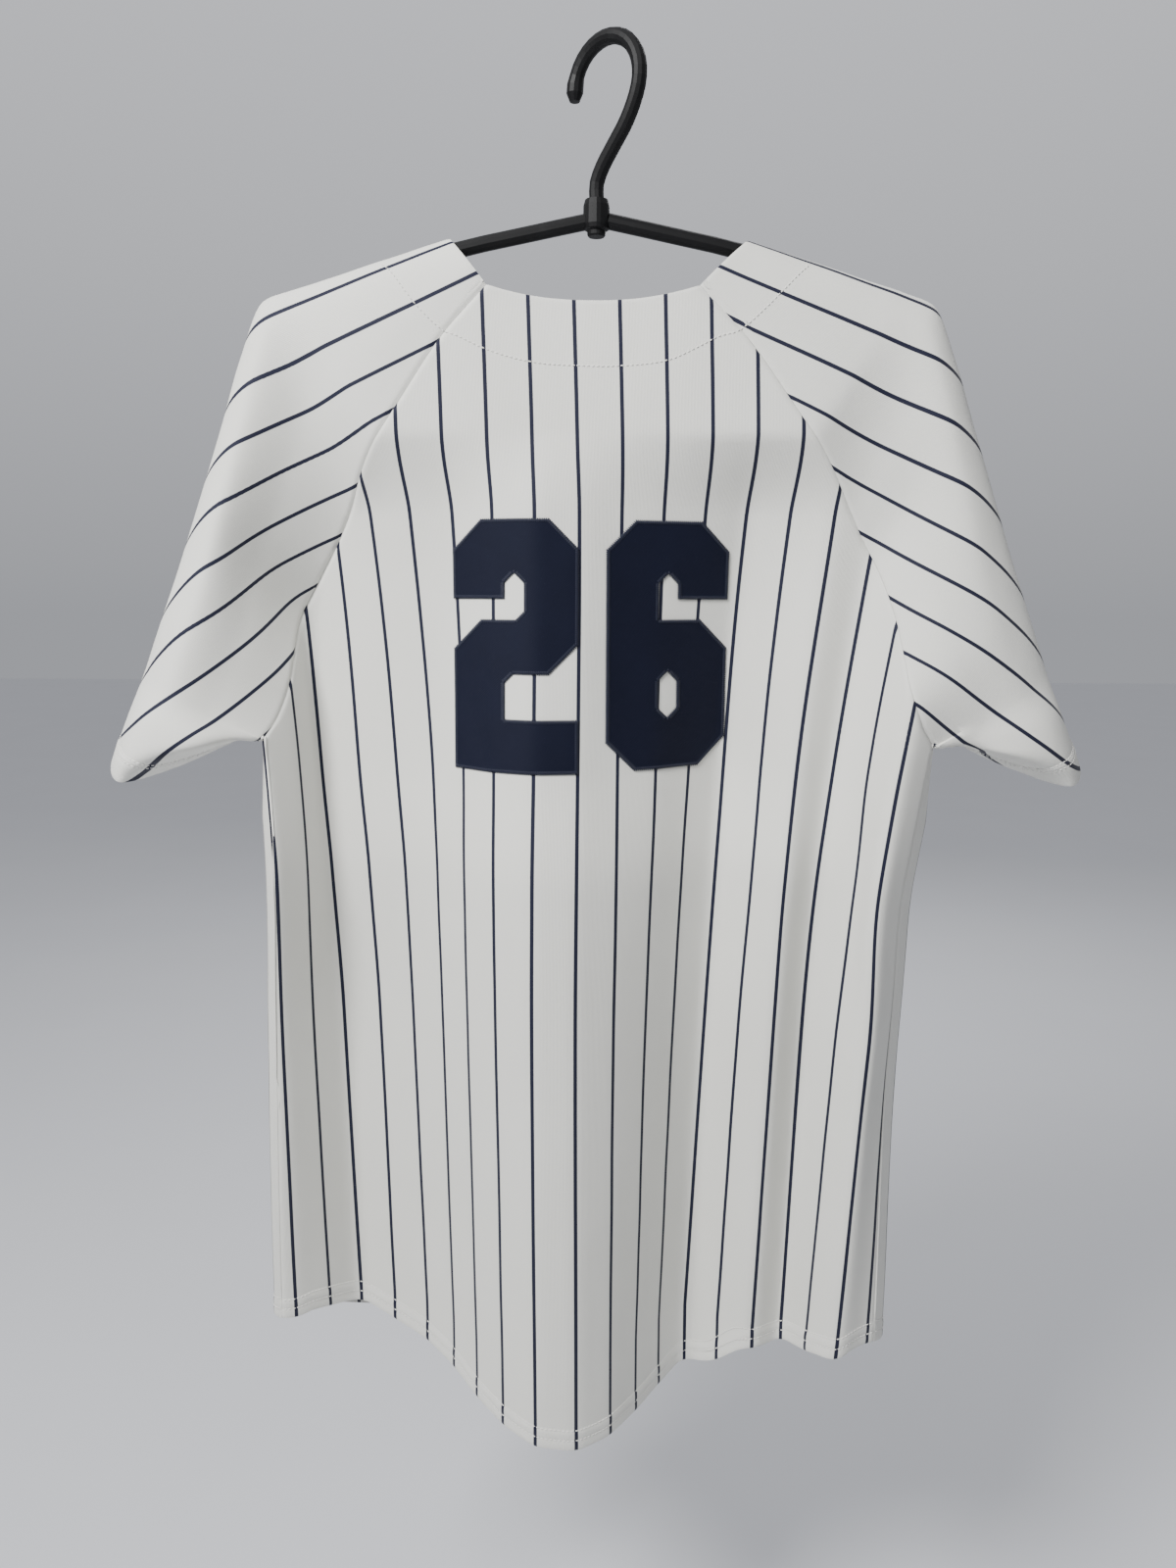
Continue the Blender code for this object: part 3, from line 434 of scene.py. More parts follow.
def front_point(share, z):
    """Share is -1 at the left side seam, 0 near the middle and 1 at the right side seam."""
    return plan_point(FRONT_PLANS, FRONT_SHARES, share, z)


def front_share(z):
    return read(RAGLAN_FRONT, 1, z)


def front_seam_z(share):
    return RAGLAN_FRONT[0][0] + (UNDERARM_Z - RAGLAN_FRONT[0][0]) * share


def sleeve_controls(side, share):
    """The points that shape one row of a sleeve, from the back seam over the outer edge to the front seam."""
    edge_x, edge_y, edge_z, turn, back_y, front_y = (
        float(read(SLEEVE_LEVELS, i, share)) for i in range(1, 7))
    edge = np.array((side * edge_x, edge_y, edge_z))
    back = back_point(side * raglan_half(seam_z(share)), seam_z(share))
    front = front_point(side * front_share(front_seam_z(share)), front_seam_z(share))
    swell = np.array((0.0, SLEEVE_FULLNESS, 0.0))

    def turned(seam, y):
        way = np.array((seam[0] - edge[0], 0.0, seam[2] - edge[2]))
        p = edge + way / np.linalg.norm(way) * turn
        p[1] = y
        return p

    def between(share_xz, share_y):
        p = front + (front_turn - front) * share_xz
        p[1] = front[1] + (front_turn[1] - front[1]) * share_y
        return p

    back_turn, front_turn = turned(back, back_y), turned(front, front_y)
    return np.array([back, (back + back_turn) / 2 - swell, back_turn, edge, front_turn,
                     between(0.67, 0.88) + swell, between(0.33, 0.45) + swell / 2, front])


def level_points(levels, level):
    """Points on the smooth curves through several sets of points; level 1 is the second set."""
    sets = levels + [2 * levels[-1] - levels[-2]]
    i = min(int(level), len(levels) - 1)
    t = level - i
    a, b, c, d = sets[i - 1], sets[i], sets[i + 1], sets[min(i + 2, len(sets) - 1)]
    return 0.5 * (2 * b + (c - a) * t + (2 * a - 5 * b + 4 * c - d) * t ** 2
                  + (3 * b - 3 * c + d - a) * t ** 3)


def sleeve_places(points):
    """Places of the columns on a sleeve's row, close together near the seams."""
    first = EDGE_STEPS / np.linalg.norm(points[1] - points[0])
    last = EDGE_STEPS / np.linalg.norm(points[-1] - points[-2])
    inner = np.linspace(0.16, len(points) - 1.16, SLEEVE_COLUMNS)
    return np.concatenate((first, inner, len(points) - 1 - last[::-1]))


def sleeve_grid(side):
    rows, flat = [], []

    def add(points, closed):
        places = sleeve_places(points)
        row = curve_at(points, places, closed)
        run = run_of(row)
        run -= np.interp(2.0, places, run)
        way = (points[2] - points[1])[[0, 2]]
        way /= np.linalg.norm(way)
        rows.append(row)
        flat.append(points[2][[0, 2]] + run[:, None] * way)

    for share in SEAM_SHARES:
        add(sleeve_controls(side, share), False)
    levels = [sleeve_controls(side, 0.93), sleeve_controls(side, 1.0)]
    for ring, follow in zip(SLEEVE_RINGS, RING_FOLLOWS):
        points = np.array(ring) * (side, 1.0, 1.0)
        points[0][1] += (levels[1][0][1] - RING_UNDERARM_Y) * follow
        levels.append(np.vstack((points, points[:1])))
    upper = len(rows)
    for level in np.linspace(1, 4, 61)[1:]:
        add(level_points(levels, level), True)
    grid, flat = np.array(rows), np.array(flat)
    # the rows of the tube are drawn again, so that the last of them follow the hem
    tube, tube_flat = grid[upper - 1:], flat[upper - 1:]
    up = run_along(tube[::-1], 0)[::-1]
    new = np.zeros((SLEEVE_LOWER_ROWS + len(SLEEVE_HEM_STEPS), grid.shape[1], 5))
    for j in range(grid.shape[1]):
        main = up[0, j] + (SLEEVE_HEM_START - up[0, j]) * np.linspace(0, 1, SLEEVE_LOWER_ROWS + 1)[1:]
        want = np.concatenate((main, SLEEVE_HEM_STEPS))
        for axis in range(5):
            source = tube[:, j, axis] if axis < 3 else tube_flat[:, j, axis - 3]
            new[:, j, axis] = np.interp(want, up[::-1, j], source[::-1])
    return np.concatenate((grid[:upper], new[..., :3])), np.concatenate((flat[:upper], new[..., 3:]))


def beyond(xs, ys, x):
    """Straight lines through a table, carried on past its ends."""
    before = ys[0] + (x - xs[0]) * (ys[1] - ys[0]) / (xs[1] - xs[0])
    after = ys[-1] + (x - xs[-1]) * (ys[-1] - ys[-2]) / (xs[-1] - xs[-2])
    return np.where(x < xs[0], before, np.where(x > xs[-1], after, np.interp(x, xs, ys)))


def sleeve_stripes(flat, side, lines):
    """The number of the stripe that runs through each place of the sleeve laid out flat."""
    number, out, height, slope = (column(lines, i) for i in range(4))
    low, high = np.full(flat.shape[:2], -12.0), np.full(flat.shape[:2], 24.0)
    for _ in range(HALVINGS):
        middle = (low + high) / 2
        angle = np.radians(np.clip(beyond(number, slope, middle), *SLOPE_LIMITS))
        below = (-np.sin(angle) * (side * flat[..., 0] - beyond(number, out, middle))
                 - np.cos(angle) * (flat[..., 1] - beyond(number, height, middle)))
        low, high = np.where(below > 0, middle, low), np.where(below > 0, high, middle)
    return (low + high) / 2


for side, hand in ((-1, "left"), (1, "right")):
    grid, flat = sleeve_grid(side)
    add_panel("jersey_sleeve_" + hand, grid, sleeve_stripes(flat, side, STRIPE_LINES[hand]), (side, 0.0, 0.0),
              ("seam", "seam"), SLEEVE_HEM, SLEEVE_STITCHES)


# Fronts
# Two pieces of the same double knit, the left lapped over the right, with a lower neck. Their hems curve
# down to the middle as the back's does. They are out of sight in the picture and finished plainly.
FRONT_TAIL_Z = -0.925
FRONT_TAIL_FULLNESS = 0.45
NECK_FRONT_LOW_Z, NECK_FRONT_FULLNESS, NECK_FRONT_FADE = -0.240, 2.4, 1.6
FRONT_HALF = 0.285  # side seam to middle, along the cloth
OVERLAP_SHARE = 0.016 / FRONT_HALF
UNDERLAP_DROP, UNDERLAP_END_X, UNDERLAP_EASE = 0.0036, 0.048, 0.020
FRONT_STRIPE_START = 0.35  # stripes between the side seam and the first one


def front_grid(side):
    """One front, from its side or raglan seam to its buttoned edge."""
    rows, along_cloth = [], []

    def add(share, z):
        p = front_point(side * share, z)
        if side > 0:
            p[:, 1] -= UNDERLAP_DROP * np.clip((UNDERLAP_END_X - p[:, 0]) / UNDERLAP_EASE, 0, 1)
        rows.append(p)
        along_cloth.append((1 - share) * np.interp(z, LEVELS, FRONT_HALF_LENGTH))

    for level in SEAM_SHARES:
        z = front_seam_z(level)
        outer = front_share(z)
        share = outer - (outer + OVERLAP_SHARE) * spaced(FRONT_HALF * (outer + OVERLAP_SHARE), FRONT_COLUMNS)
        top_z, top_share = RAGLAN_FRONT[0]
        edge = np.minimum(np.abs(share) / outer, 1.0)
        neck = (NECK_FRONT_LOW_Z - top_z) * (1 - edge ** NECK_FRONT_FULLNESS)
        add(share, z + (1 - level) ** NECK_FRONT_FADE * neck)
    share = 1.0 - (1 + OVERLAP_SHARE) * spaced(FRONT_HALF * (1 + OVERLAP_SHARE), FRONT_COLUMNS)
    hem = tail(share, FRONT_TAIL_Z, FRONT_TAIL_FULLNESS)
    rise = np.minimum(np.sqrt(1 + np.gradient(hem, share * FRONT_HALF) ** 2), STEEPEST_RISE)
    rise[0] = 1.0
    for z in lower_rows(hem, rise):
        add(share, z)
    return np.array(rows), np.array(along_cloth)


for side, hand in ((-1, "left"), (1, "right")):
    grid, along_cloth = front_grid(side)
    add_panel("jersey_front_" + hand, grid, along_cloth / STRIP + FRONT_STRIPE_START, (0.0, 1.0, 0.0),
              ("seam", "edge"), BODY_HEM, BODY_STITCHES)


# Sewing the panels together
# The five panels meet along the raglan, side and underarm seams, where the cloth rolls in on both sides. The
# body and the sleeves are hemmed, and a slight unevenness runs through all of the cloth.
def sewn_pairs():
    """Pairs of columns that are sewn together, as panel, rows and column."""
    upper, lower = slice(0, UPPER), slice(UPPER, None)
    for hand, column_at in (("left", 0), ("right", -1)):
        sleeve, front = "jersey_sleeve_" + hand, "jersey_front_" + hand
        yield ("jersey_back", upper, column_at), (sleeve, upper, 0)
        yield (front, upper, 0), (sleeve, upper, -1)
        yield ("jersey_back", lower, column_at), (front, lower, 0)
        yield (sleeve, lower, 0), (sleeve, lower, -1)


for (first, first_rows, first_column), (second, second_rows, second_column) in sewn_pairs():
    one = PANELS[first]["normal"][first_rows, first_column]
    other = PANELS[second]["normal"][second_rows, second_column]
    middle = one + other
    middle /= np.linalg.norm(middle, axis=1, keepdims=True)
    one[:], other[:] = middle, middle


UNEVENNESS = (
    # height of the waves, then how close together they are along x, y and z
    (0.0007, 17, 14, 6),
    (0.0003, 46, 40, 19),
)
EDGE_ROLL, EDGE_ROLL_WIDTH = 0.0004, 0.0009  # free edges are folded, so they are rounded
STITCH_DIP, STITCH_DIP_WIDTH = 0.0004, 0.0009


def unevenness(points):
    """Soft, mostly upright waves in the cloth."""
    out = np.zeros(points.shape[:2])
    for index in np.ndindex(out.shape):
        x, y, z = points[index]
        out[index] = sum(height * noise.noise(Vector((x * a, y * b, z * c)))
                         for height, a, b, c in UNEVENNESS)
    return out


def shape_panel(panel):
    """Moves a panel's points out or in along their normals, for its seams, hem and unevenness."""
    grid, normal = panel["grid"], panel["normal"]
    across, down = run_along(grid, 1), run_along(grid, 0)
    from_first, from_last, from_hem = across, across[:, -1:] - across, down[-1:] - down
    out = unevenness(grid)
    for distance, kind in zip((from_first, from_last), panel["edges"]):
        if kind == "seam":
            out -= SEAM_DIP * np.exp(-(distance / SEAM_DIP_WIDTH) ** 2)
        else:
            out -= EDGE_ROLL * np.exp(-(distance / EDGE_ROLL_WIDTH) ** 2)
    out += HEM_RISE * np.clip((panel["hem"] + HEM_RISE_START - from_hem) / HEM_RISE_WIDTH, 0, 1)
    for distance in (from_hem, down):
        out -= EDGE_ROLL * np.exp(-(distance / EDGE_ROLL_WIDTH) ** 2)
    for row in panel["stitches"]:
        out -= STITCH_DIP * np.exp(-((from_hem - row) / STITCH_DIP_WIDTH) ** 2)
    moved = grid + normal * out[..., None]
    for edge, inner, kind in ((0, 1, panel["edges"][0]), (-1, -2, panel["edges"][1])):
        if kind == "seam":
            way = moved[:, inner] - moved[:, edge]
            moved[:, edge] += way / np.linalg.norm(way, axis=1, keepdims=True) * SEAM_GAP / 2
    panel["grid"] = moved
    panel["down"] = down


for panel in PANELS.values():
    shape_panel(panel)


class Shade:
    """A socket of a material's nodes. Arithmetic on it adds Math nodes."""

    def __init__(self, tree, socket=None):
        self.tree, self.socket = tree, socket

    def node(self, kind, inputs=None, output=0, **settings):
        made = self.tree.nodes.new("ShaderNode" + kind)
        for name, value in settings.items():
            setattr(made, name, value)
        for name, value in (inputs or {}).items():
            if isinstance(value, Shade):
                self.tree.links.new(value.socket, made.inputs[name])
            else:
                made.inputs[name].default_value = value
        return Shade(self.tree, made.outputs[output])

    def math(self, operation, *others, clamp=False):
        return self.node("Math", dict(enumerate((self, *others))), operation=operation, use_clamp=clamp)

    def __add__(self, other):
        return self.math("ADD", other)

    def __sub__(self, other):
        return self.math("SUBTRACT", other)

    def __rsub__(self, other):
        return self.node("Math", {0: other, 1: self}, operation="SUBTRACT")

    def __mul__(self, other):
        return self.math("MULTIPLY", other)

    __radd__, __rmul__ = __add__, __mul__

    def fade(self, start, end):
        """1 where this value is past start, 0 where it is past end on the other side."""
        return (self - end).math("DIVIDE", start - end, clamp=True)

    def wave(self):
        """A sine of this value, between 0 and 1."""
        return self.math("SINE") * 0.5 + 0.5

    def parts(self):
        """The x, y and z of this vector."""
        split = self.node("SeparateXYZ", {0: self}).socket.node
        return [Shade(self.tree, socket) for socket in split.outputs]

    def feed(self, shader, name):
        self.tree.links.new(self.socket, shader.inputs[name])

    def bump(self, shader, strength, distance):
        """Uses this value as a height, in shares of a distance."""
        self.node("Bump", {"Strength": strength, "Distance": distance, "Height": self}).feed(shader, "Normal")

    def mix(self, colour, other):
        """This value mixes the first colour, at 0, with the second, at 1."""
        return self.node("Mix", {0: self, 6: colour, 7: other}, output=2, data_type="RGBA")

    def noise(self, place, scale, detail=2.0, roughness=0.5):
        return self.node("TexNoise", {"Vector": place, "Scale": scale, "Detail": detail,
                                      "Roughness": roughness})


def start_material(name, **constants):
    """A new material, its Principled shader and a Shade to build from."""
    made = bpy.data.materials.new(name)
    made.use_nodes = True
    surface = made.node_tree.nodes["Principled BSDF"]
    for socket, value in constants.items():
        surface.inputs[socket.replace("_", " ")].default_value = value
    return made, surface, Shade(made.node_tree)


CLOTH_WHITE, CLOTH_SHADE = (0.800, 0.795, 0.745, 1.0), (0.735, 0.730, 0.675, 1.0)
STRIPE_NAVY = (0.0055, 0.0070, 0.0250, 1.0)
STRIPE_HALF = 1.32  # millimetres
WALES = 32.0  # knitted ribs between two stripes


def double_knit():
    made, surface, shade = start_material("double_knit", Sheen_Weight=0.12, Sheen_Roughness=0.45,
                                          Specular_IOR_Level=0.30)
    weave = shade.node("UVMap", uv_map="cloth")
    across, along, _ = weave.parts()
    place = shade.node("TexCoord", output="Object")
    # stripes with slightly ragged sides
    rib = (across * WALES).math("FRACT")
    ragged = shade.noise(weave, 44.0, 1.0) - 0.5
    off = (across + 0.5).math("FRACT") - 0.5
    distance = off.math("ABSOLUTE") * (STRIP * 1000) + ragged * 0.22
    stripe = distance.fade(STRIPE_HALF - 0.16, STRIPE_HALF + 0.16)
    # the knit: rounded ribs crossed by loops that lean towards the rib's middle
    lean = (rib - 0.5).math("ABSOLUTE")
    loops = ((along * (WALES * 1.25) + lean * 1.1) * (2 * math.pi)).wave()
    ribs = (rib * math.pi).math("SINE")
    height = ribs * 0.6 + loops * 0.4
    # wide, faint unevenness of tone, plus painted shade: the colour darkens where the knit's ribs and loops
    # are low
    cloud = shade.noise(place, 7.0, 3.0, 0.55)
    speckle = shade.noise(weave, 160.0, 1.0)
    tone_and_groove_shade = (cloud - 0.5) * 1.1 + (speckle - 0.5) * 0.35 + (1 - height) * 0.12 + 0.30
    ground = tone_and_groove_shade.math("ADD", 0.0, clamp=True).mix(CLOTH_WHITE, CLOTH_SHADE)
    stripe.mix(ground, STRIPE_NAVY).feed(surface, "Base Color")
    (0.86 - stripe * 0.14).feed(surface, "Roughness")
    fuzz = shade.noise(weave, 420.0, 2.0)
    (height * (1 - stripe * 0.3) + fuzz * 0.5 + stripe * 0.35).bump(surface, 0.45, 0.00030)
    return made


def grid_quads(rows, columns):
    index = np.arange(rows * columns).reshape(rows, columns)
    return np.stack((index[:-1, :-1], index[1:, :-1], index[1:, 1:], index[:-1, 1:]), axis=-1).reshape(-1, 4)


def linked(name, data):
    obj = bpy.data.objects.new(name, data)
    bpy.context.scene.collection.objects.link(obj)
    return obj


def cloth_object(name, material):
    """A panel as a mesh with its stripes' numbers, then given the thickness of the cloth."""
    panel = PANELS[name]
    grid, stripe = panel["grid"] - SEAT, panel["stripe"]
    rows, columns = stripe.shape
    lengthwise = panel["down"] / STRIP
    quads = grid_quads(rows, columns)
    a, b, c = (grid.reshape(-1, 3)[quads[:, k]] for k in (0, 1, 2))
    if np.sum(np.cross(b - a, c - b) * panel["normal"].reshape(-1, 3)[quads[:, 0]]) < 0:
        quads = quads[:, ::-1]
    mesh = bpy.data.meshes.new(name)
    mesh.from_pydata(grid.reshape(-1, 3).tolist(), [], quads.tolist())
    corners = quads.reshape(-1)
    cloth = np.column_stack((stripe.reshape(-1)[corners], lengthwise.reshape(-1)[corners]))
    mesh.uv_layers.new(name="cloth").data.foreach_set("uv", cloth.reshape(-1))
    mesh.shade_smooth()
    obj = linked(name, mesh)
    bpy.context.view_layer.objects.active = obj
    obj.select_set(True)
    wall = obj.modifiers.new("wall", "SOLIDIFY")
    wall.thickness = CLOTH_WALL
    wall.offset = -1.0
    bpy.ops.object.modifier_apply(modifier="wall")
    bpy.ops.object.shade_smooth_by_angle(angle=math.radians(50))
    obj.select_set(False)
    obj.data.materials.append(material)
    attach(obj, "root")
    return obj


cloth_material = double_knit()
STANDS_FOR = {"jersey_back": "back_panel", "jersey_front_left": "front_panel_left",
              "jersey_front_right": "front_panel_right", "jersey_sleeve_left": "sleeve_left",
              "jersey_sleeve_right": "sleeve_right"}
for name, node in STANDS_FOR.items():
    cloth_object(name, cloth_material)
    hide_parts(node)


# Cover stitching
# White polyester thread, two rows round each hem, one where the neck facing is caught down, and one down each
# front's facing. Each stitch is a short raised bar, sunk at its two ends.
THREAD_WHITE, THREAD_NAVY = (0.86, 0.85, 0.81, 1.0), (0.012, 0.015, 0.034, 1.0)
STITCH_PITCH, STITCH_LENGTH, STITCH_RADIUS = 0.0031, 0.0023, 0.00040
STITCH_RINGS = (
    # share of the length, lift, size
    (0.0, -0.6, 0.6), (0.22, 0.55, 1.0), (0.78, 0.55, 1.0), (1.0, -0.6, 0.6),
)
STITCH_SECTION = ((1, 0), (0.5, 0.85), (-0.5, 0.85), (-1, 0), (0, -0.8))
FACING_LINE = (
    # x, z of the row that holds the neck facing, from the left sleeve over the back to the right sleeve
    (-0.1385, -0.1290), (-0.1334, -0.1329), (-0.1162, -0.1548), (-0.0987, -0.1710), (-0.0908, -0.1739),
    (-0.0693, -0.1832), (-0.0423, -0.1902), (-0.0133, -0.1924), (0.0157, -0.1923), (0.0447, -0.1886),
    (0.0624, -0.1809), (0.0770, -0.1738), (0.0892, -0.1702), (0.1054, -0.1568), (0.1279, -0.1341),
    (0.1330, -0.1295),
)
FRONT_FACING = 0.030  # from the buttoned edge
FRONT_FACING_TOP = 8  # rows down from the neck
BEFORE_THE_BACK_Y = -0.4


def thread(name, colour):
    made, surface, shade = start_material(name, Specular_IOR_Level=0.4)
    place = shade.node("TexCoord", output="Object")
    twist = shade.noise(place, 900.0, 2.0)
    dark = tuple(level * 0.82 for level in colour[:3]) + (1.0,)
    twist.mix(dark, colour).feed(surface, "Base Color")
    (twist * 0.2 + 0.5).feed(surface, "Roughness")
    twist.bump(surface, 0.4, 0.0001)
    return made


def spread_out(points, normals, pitch):
    """Points and normals at an even pitch along a line."""
    run = run_of(points)
    want = np.arange(pitch / 2, run[-1], pitch)
    both = np.column_stack([np.interp(want, run, a) for a in np.hstack((points, normals)).T])
    return both[:, :3], both[:, 3:] / np.linalg.norm(both[:, 3:], axis=1, keepdims=True)


def row_of_stitches(points, normals):
    """A start, an end and a normal for each stitch of a row."""
    at, out = spread_out(np.asarray(points), np.asarray(normals), STITCH_PITCH)
    way = np.gradient(at, axis=0)
    way *= STITCH_LENGTH / 2 / np.linalg.norm(way, axis=1, keepdims=True)
    return list(zip(at - way, at + way, out))


def faced_mesh(name, verts, faces, material):
    """A smooth mesh of closed shells, their faces turned outwards."""
    mesh = bpy.data.meshes.new(name)
    mesh.from_pydata([tuple(v) for v in verts], [], faces)
    work = bmesh.new()
    work.from_mesh(mesh)
    bmesh.ops.recalc_face_normals(work, faces=work.faces)
    work.to_mesh(mesh)
    work.free()
    mesh.shade_smooth()
    mesh.materials.append(material)
    return mesh


def shown(name, mesh, stands_for=None):
    """A finished piece from its mesh."""
    obj = linked(name, mesh)
    if stands_for:
        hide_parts(stands_for)
    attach(obj, "root")
    return obj


def stitch_object(name, stitches, radius, material):
    verts, faces = [], []
    for start, end, out in stitches:
        way = (end - start) / np.linalg.norm(end - start)
        side = np.cross(way, out)
        base = len(verts)
        for share, lift, size in STITCH_RINGS:
            middle = start + (end - start) * share + out * radius * lift
            for turn in STITCH_SECTION:
                verts.append(middle + (side * turn[0] + out * turn[1]) * radius * size - SEAT)
        for ring in range(3):
            for k in range(5):
                a, b = base + ring * 5 + k, base + ring * 5 + (k + 1) % 5
                faces.append((a, b, b + 5, a + 5))
        faces.append(tuple(base + k for k in reversed(range(5))))
        faces.append(tuple(base + 15 + k for k in range(5)))
    return shown(name, faced_mesh(name, verts, faces, material))


def surface_tree(*names):
    verts, quads = [], []
    for name in names:
        grid = PANELS[name]["grid"]
        quads += (grid_quads(*grid.shape[:2]) + len(verts)).tolist()
        verts += grid.reshape(-1, 3).tolist()
    return BVHTree.FromPolygons(verts, quads)


def on_the_back(tree, x, z):
    """The point and outward normal of the cloth behind a place of the picture's plane."""
    hit, normal, _, _ = tree.ray_cast(Vector((x, BEFORE_THE_BACK_Y, z)), Vector((0, 1, 0)))
    return (None, None) if hit is None else (np.array(hit), np.array(normal if normal.y < 0 else -normal))


white_thread = thread("white_thread", THREAD_WHITE)
for name, panel in PANELS.items():
    steps = SLEEVE_HEM_STEPS if "sleeve" in name else HEM_STEPS
    stitches = []
    for distance in panel["stitches"]:
        row = steps.index(distance) - len(steps)
        stitches += row_of_stitches(panel["grid"][row, 2:-2], panel["normal"][row, 2:-2])
    if "front" in name:
        from_edge = run_along(panel["grid"], 1)
        from_edge = from_edge[:, -1:] - from_edge
        rows = slice(FRONT_FACING_TOP, -1)
        nearest = int(np.median(np.argmin(np.abs(from_edge[rows] - FRONT_FACING), axis=1)))
        stitches += row_of_stitches(panel["grid"][rows, nearest], panel["normal"][rows, nearest])
    panel["stitching"] = stitch_object(name.replace("jersey", "stitching"), stitches, STITCH_RADIUS,
                                       white_thread)

upper_back = surface_tree("jersey_back", "jersey_sleeve_left", "jersey_sleeve_right")
line = curve_at(np.array([(x, 0.0, z) for x, z in FACING_LINE]), np.linspace(0, len(FACING_LINE) - 1, 240))
found = [on_the_back(upper_back, x, z) for x, _, z in line]
found = [(p, n) for p, n in found if p is not None]
facing_stitches = stitch_object("stitching_neck_facing", row_of_stitches(*zip(*found)), STITCH_RADIUS,
                                white_thread)


# Number
# Two plain block numerals cut from thick navy twill and sewn flat on the back with a close zigzag of navy
# thread over their raw edges. The twill's diagonal ribs show, and it follows the folds of the back.
NUMERAL_WIDTH, NUMERAL_HEIGHT, NUMERAL_STROKE = 0.082, 0.163, 0.034
NUMERAL_CORNER, NUMERAL_NICK, NUMERAL_HOOK = 0.019, 0.006, 0.113
NUMERAL_BASE_Z = -0.4515
NUMERAL_LEFT_X = {"number_two": -0.0945, "number_six": 0.0065}
TWILL_UNDER, TWILL_FACE = 0.0001, 0.0011  # heights above the back
TWILL_RIB = 0.0011
TWILL_FACET = 0.0028
ZIGZAG_PITCH, ZIGZAG_IN, ZIGZAG_OUT, ZIGZAG_RADIUS = 0.0013, 0.0019, 0.0009, 0.00034
ZIGZAG_ON_TWILL, ZIGZAG_ON_CLOTH = 0.0012, 0.0005  # heights above the back
TWILL_NAVY, TWILL_LIGHT = (0.0030, 0.0042, 0.0125, 1.0), (0.0065, 0.0085, 0.0230, 1.0)


def twill():
    made, surface, shade = start_material("twill", Specular_IOR_Level=0.15)
    place = shade.node("TexCoord", output="Object")
    x, _, z = place.parts()
    ribs = ((x * 0.6 + z) * (2 * math.pi / TWILL_RIB)).wave()
    cloud = shade.noise(place, 30.0, 3.0)
    # painted light and shade on the ribs: crests lighter, grooves darker; the cloud is the twill's own uneven
    # tone
    (ribs * 0.35 + cloud * 0.6).mix(TWILL_NAVY, TWILL_LIGHT).feed(surface, "Base Color")
    (0.78 - ribs * 0.12).feed(surface, "Roughness")
    grain = shade.noise(place, 1100.0, 2.0)
    (ribs + grain * 0.4).bump(surface, 0.5, 0.0002)
    return made


def numeral_outlines():
    w, h, s, c, n = NUMERAL_WIDTH, NUMERAL_HEIGHT, NUMERAL_STROKE, NUMERAL_CORNER, NUMERAL_NICK
    hook, low, mid_low, mid_high, high = NUMERAL_HOOK, s, (h - s) / 2, (h + s) / 2, h - s
    two = [[(0, 0), (w, 0), (w, low), (s, low), (s, mid_low - n), (s + n, mid_low), (w - c, mid_low),
            (w, mid_low + c), (w, h - c), (w - c, h), (c, h), (0, h - c), (0, hook), (s, hook),
            (s, high - n), (s + n, high), (w - s - n, high), (w - s, high - n), (w - s, mid_high + n),
            (w - s - n, mid_high), (c, mid_high), (0, mid_high - c)]]
    six = [[(c, 0), (w - c, 0), (w, c), (w, mid_high - c), (w - c, mid_high), (s, mid_high), (s, high - n),
            (s + n, high), (w - s - n, high), (w - s, high - n), (w - s, hook), (w, hook), (w, h - c),
            (w - c, h), (c, h), (0, h - c), (0, c)],
           [(s, low + n), (s, mid_low - n), (s + n, mid_low), (w - s - n, mid_low), (w - s, mid_low - n),
            (w - s, low + n), (w - s - n, low), (s + n, low)]]
    return {"number_two": two, "number_six": six}


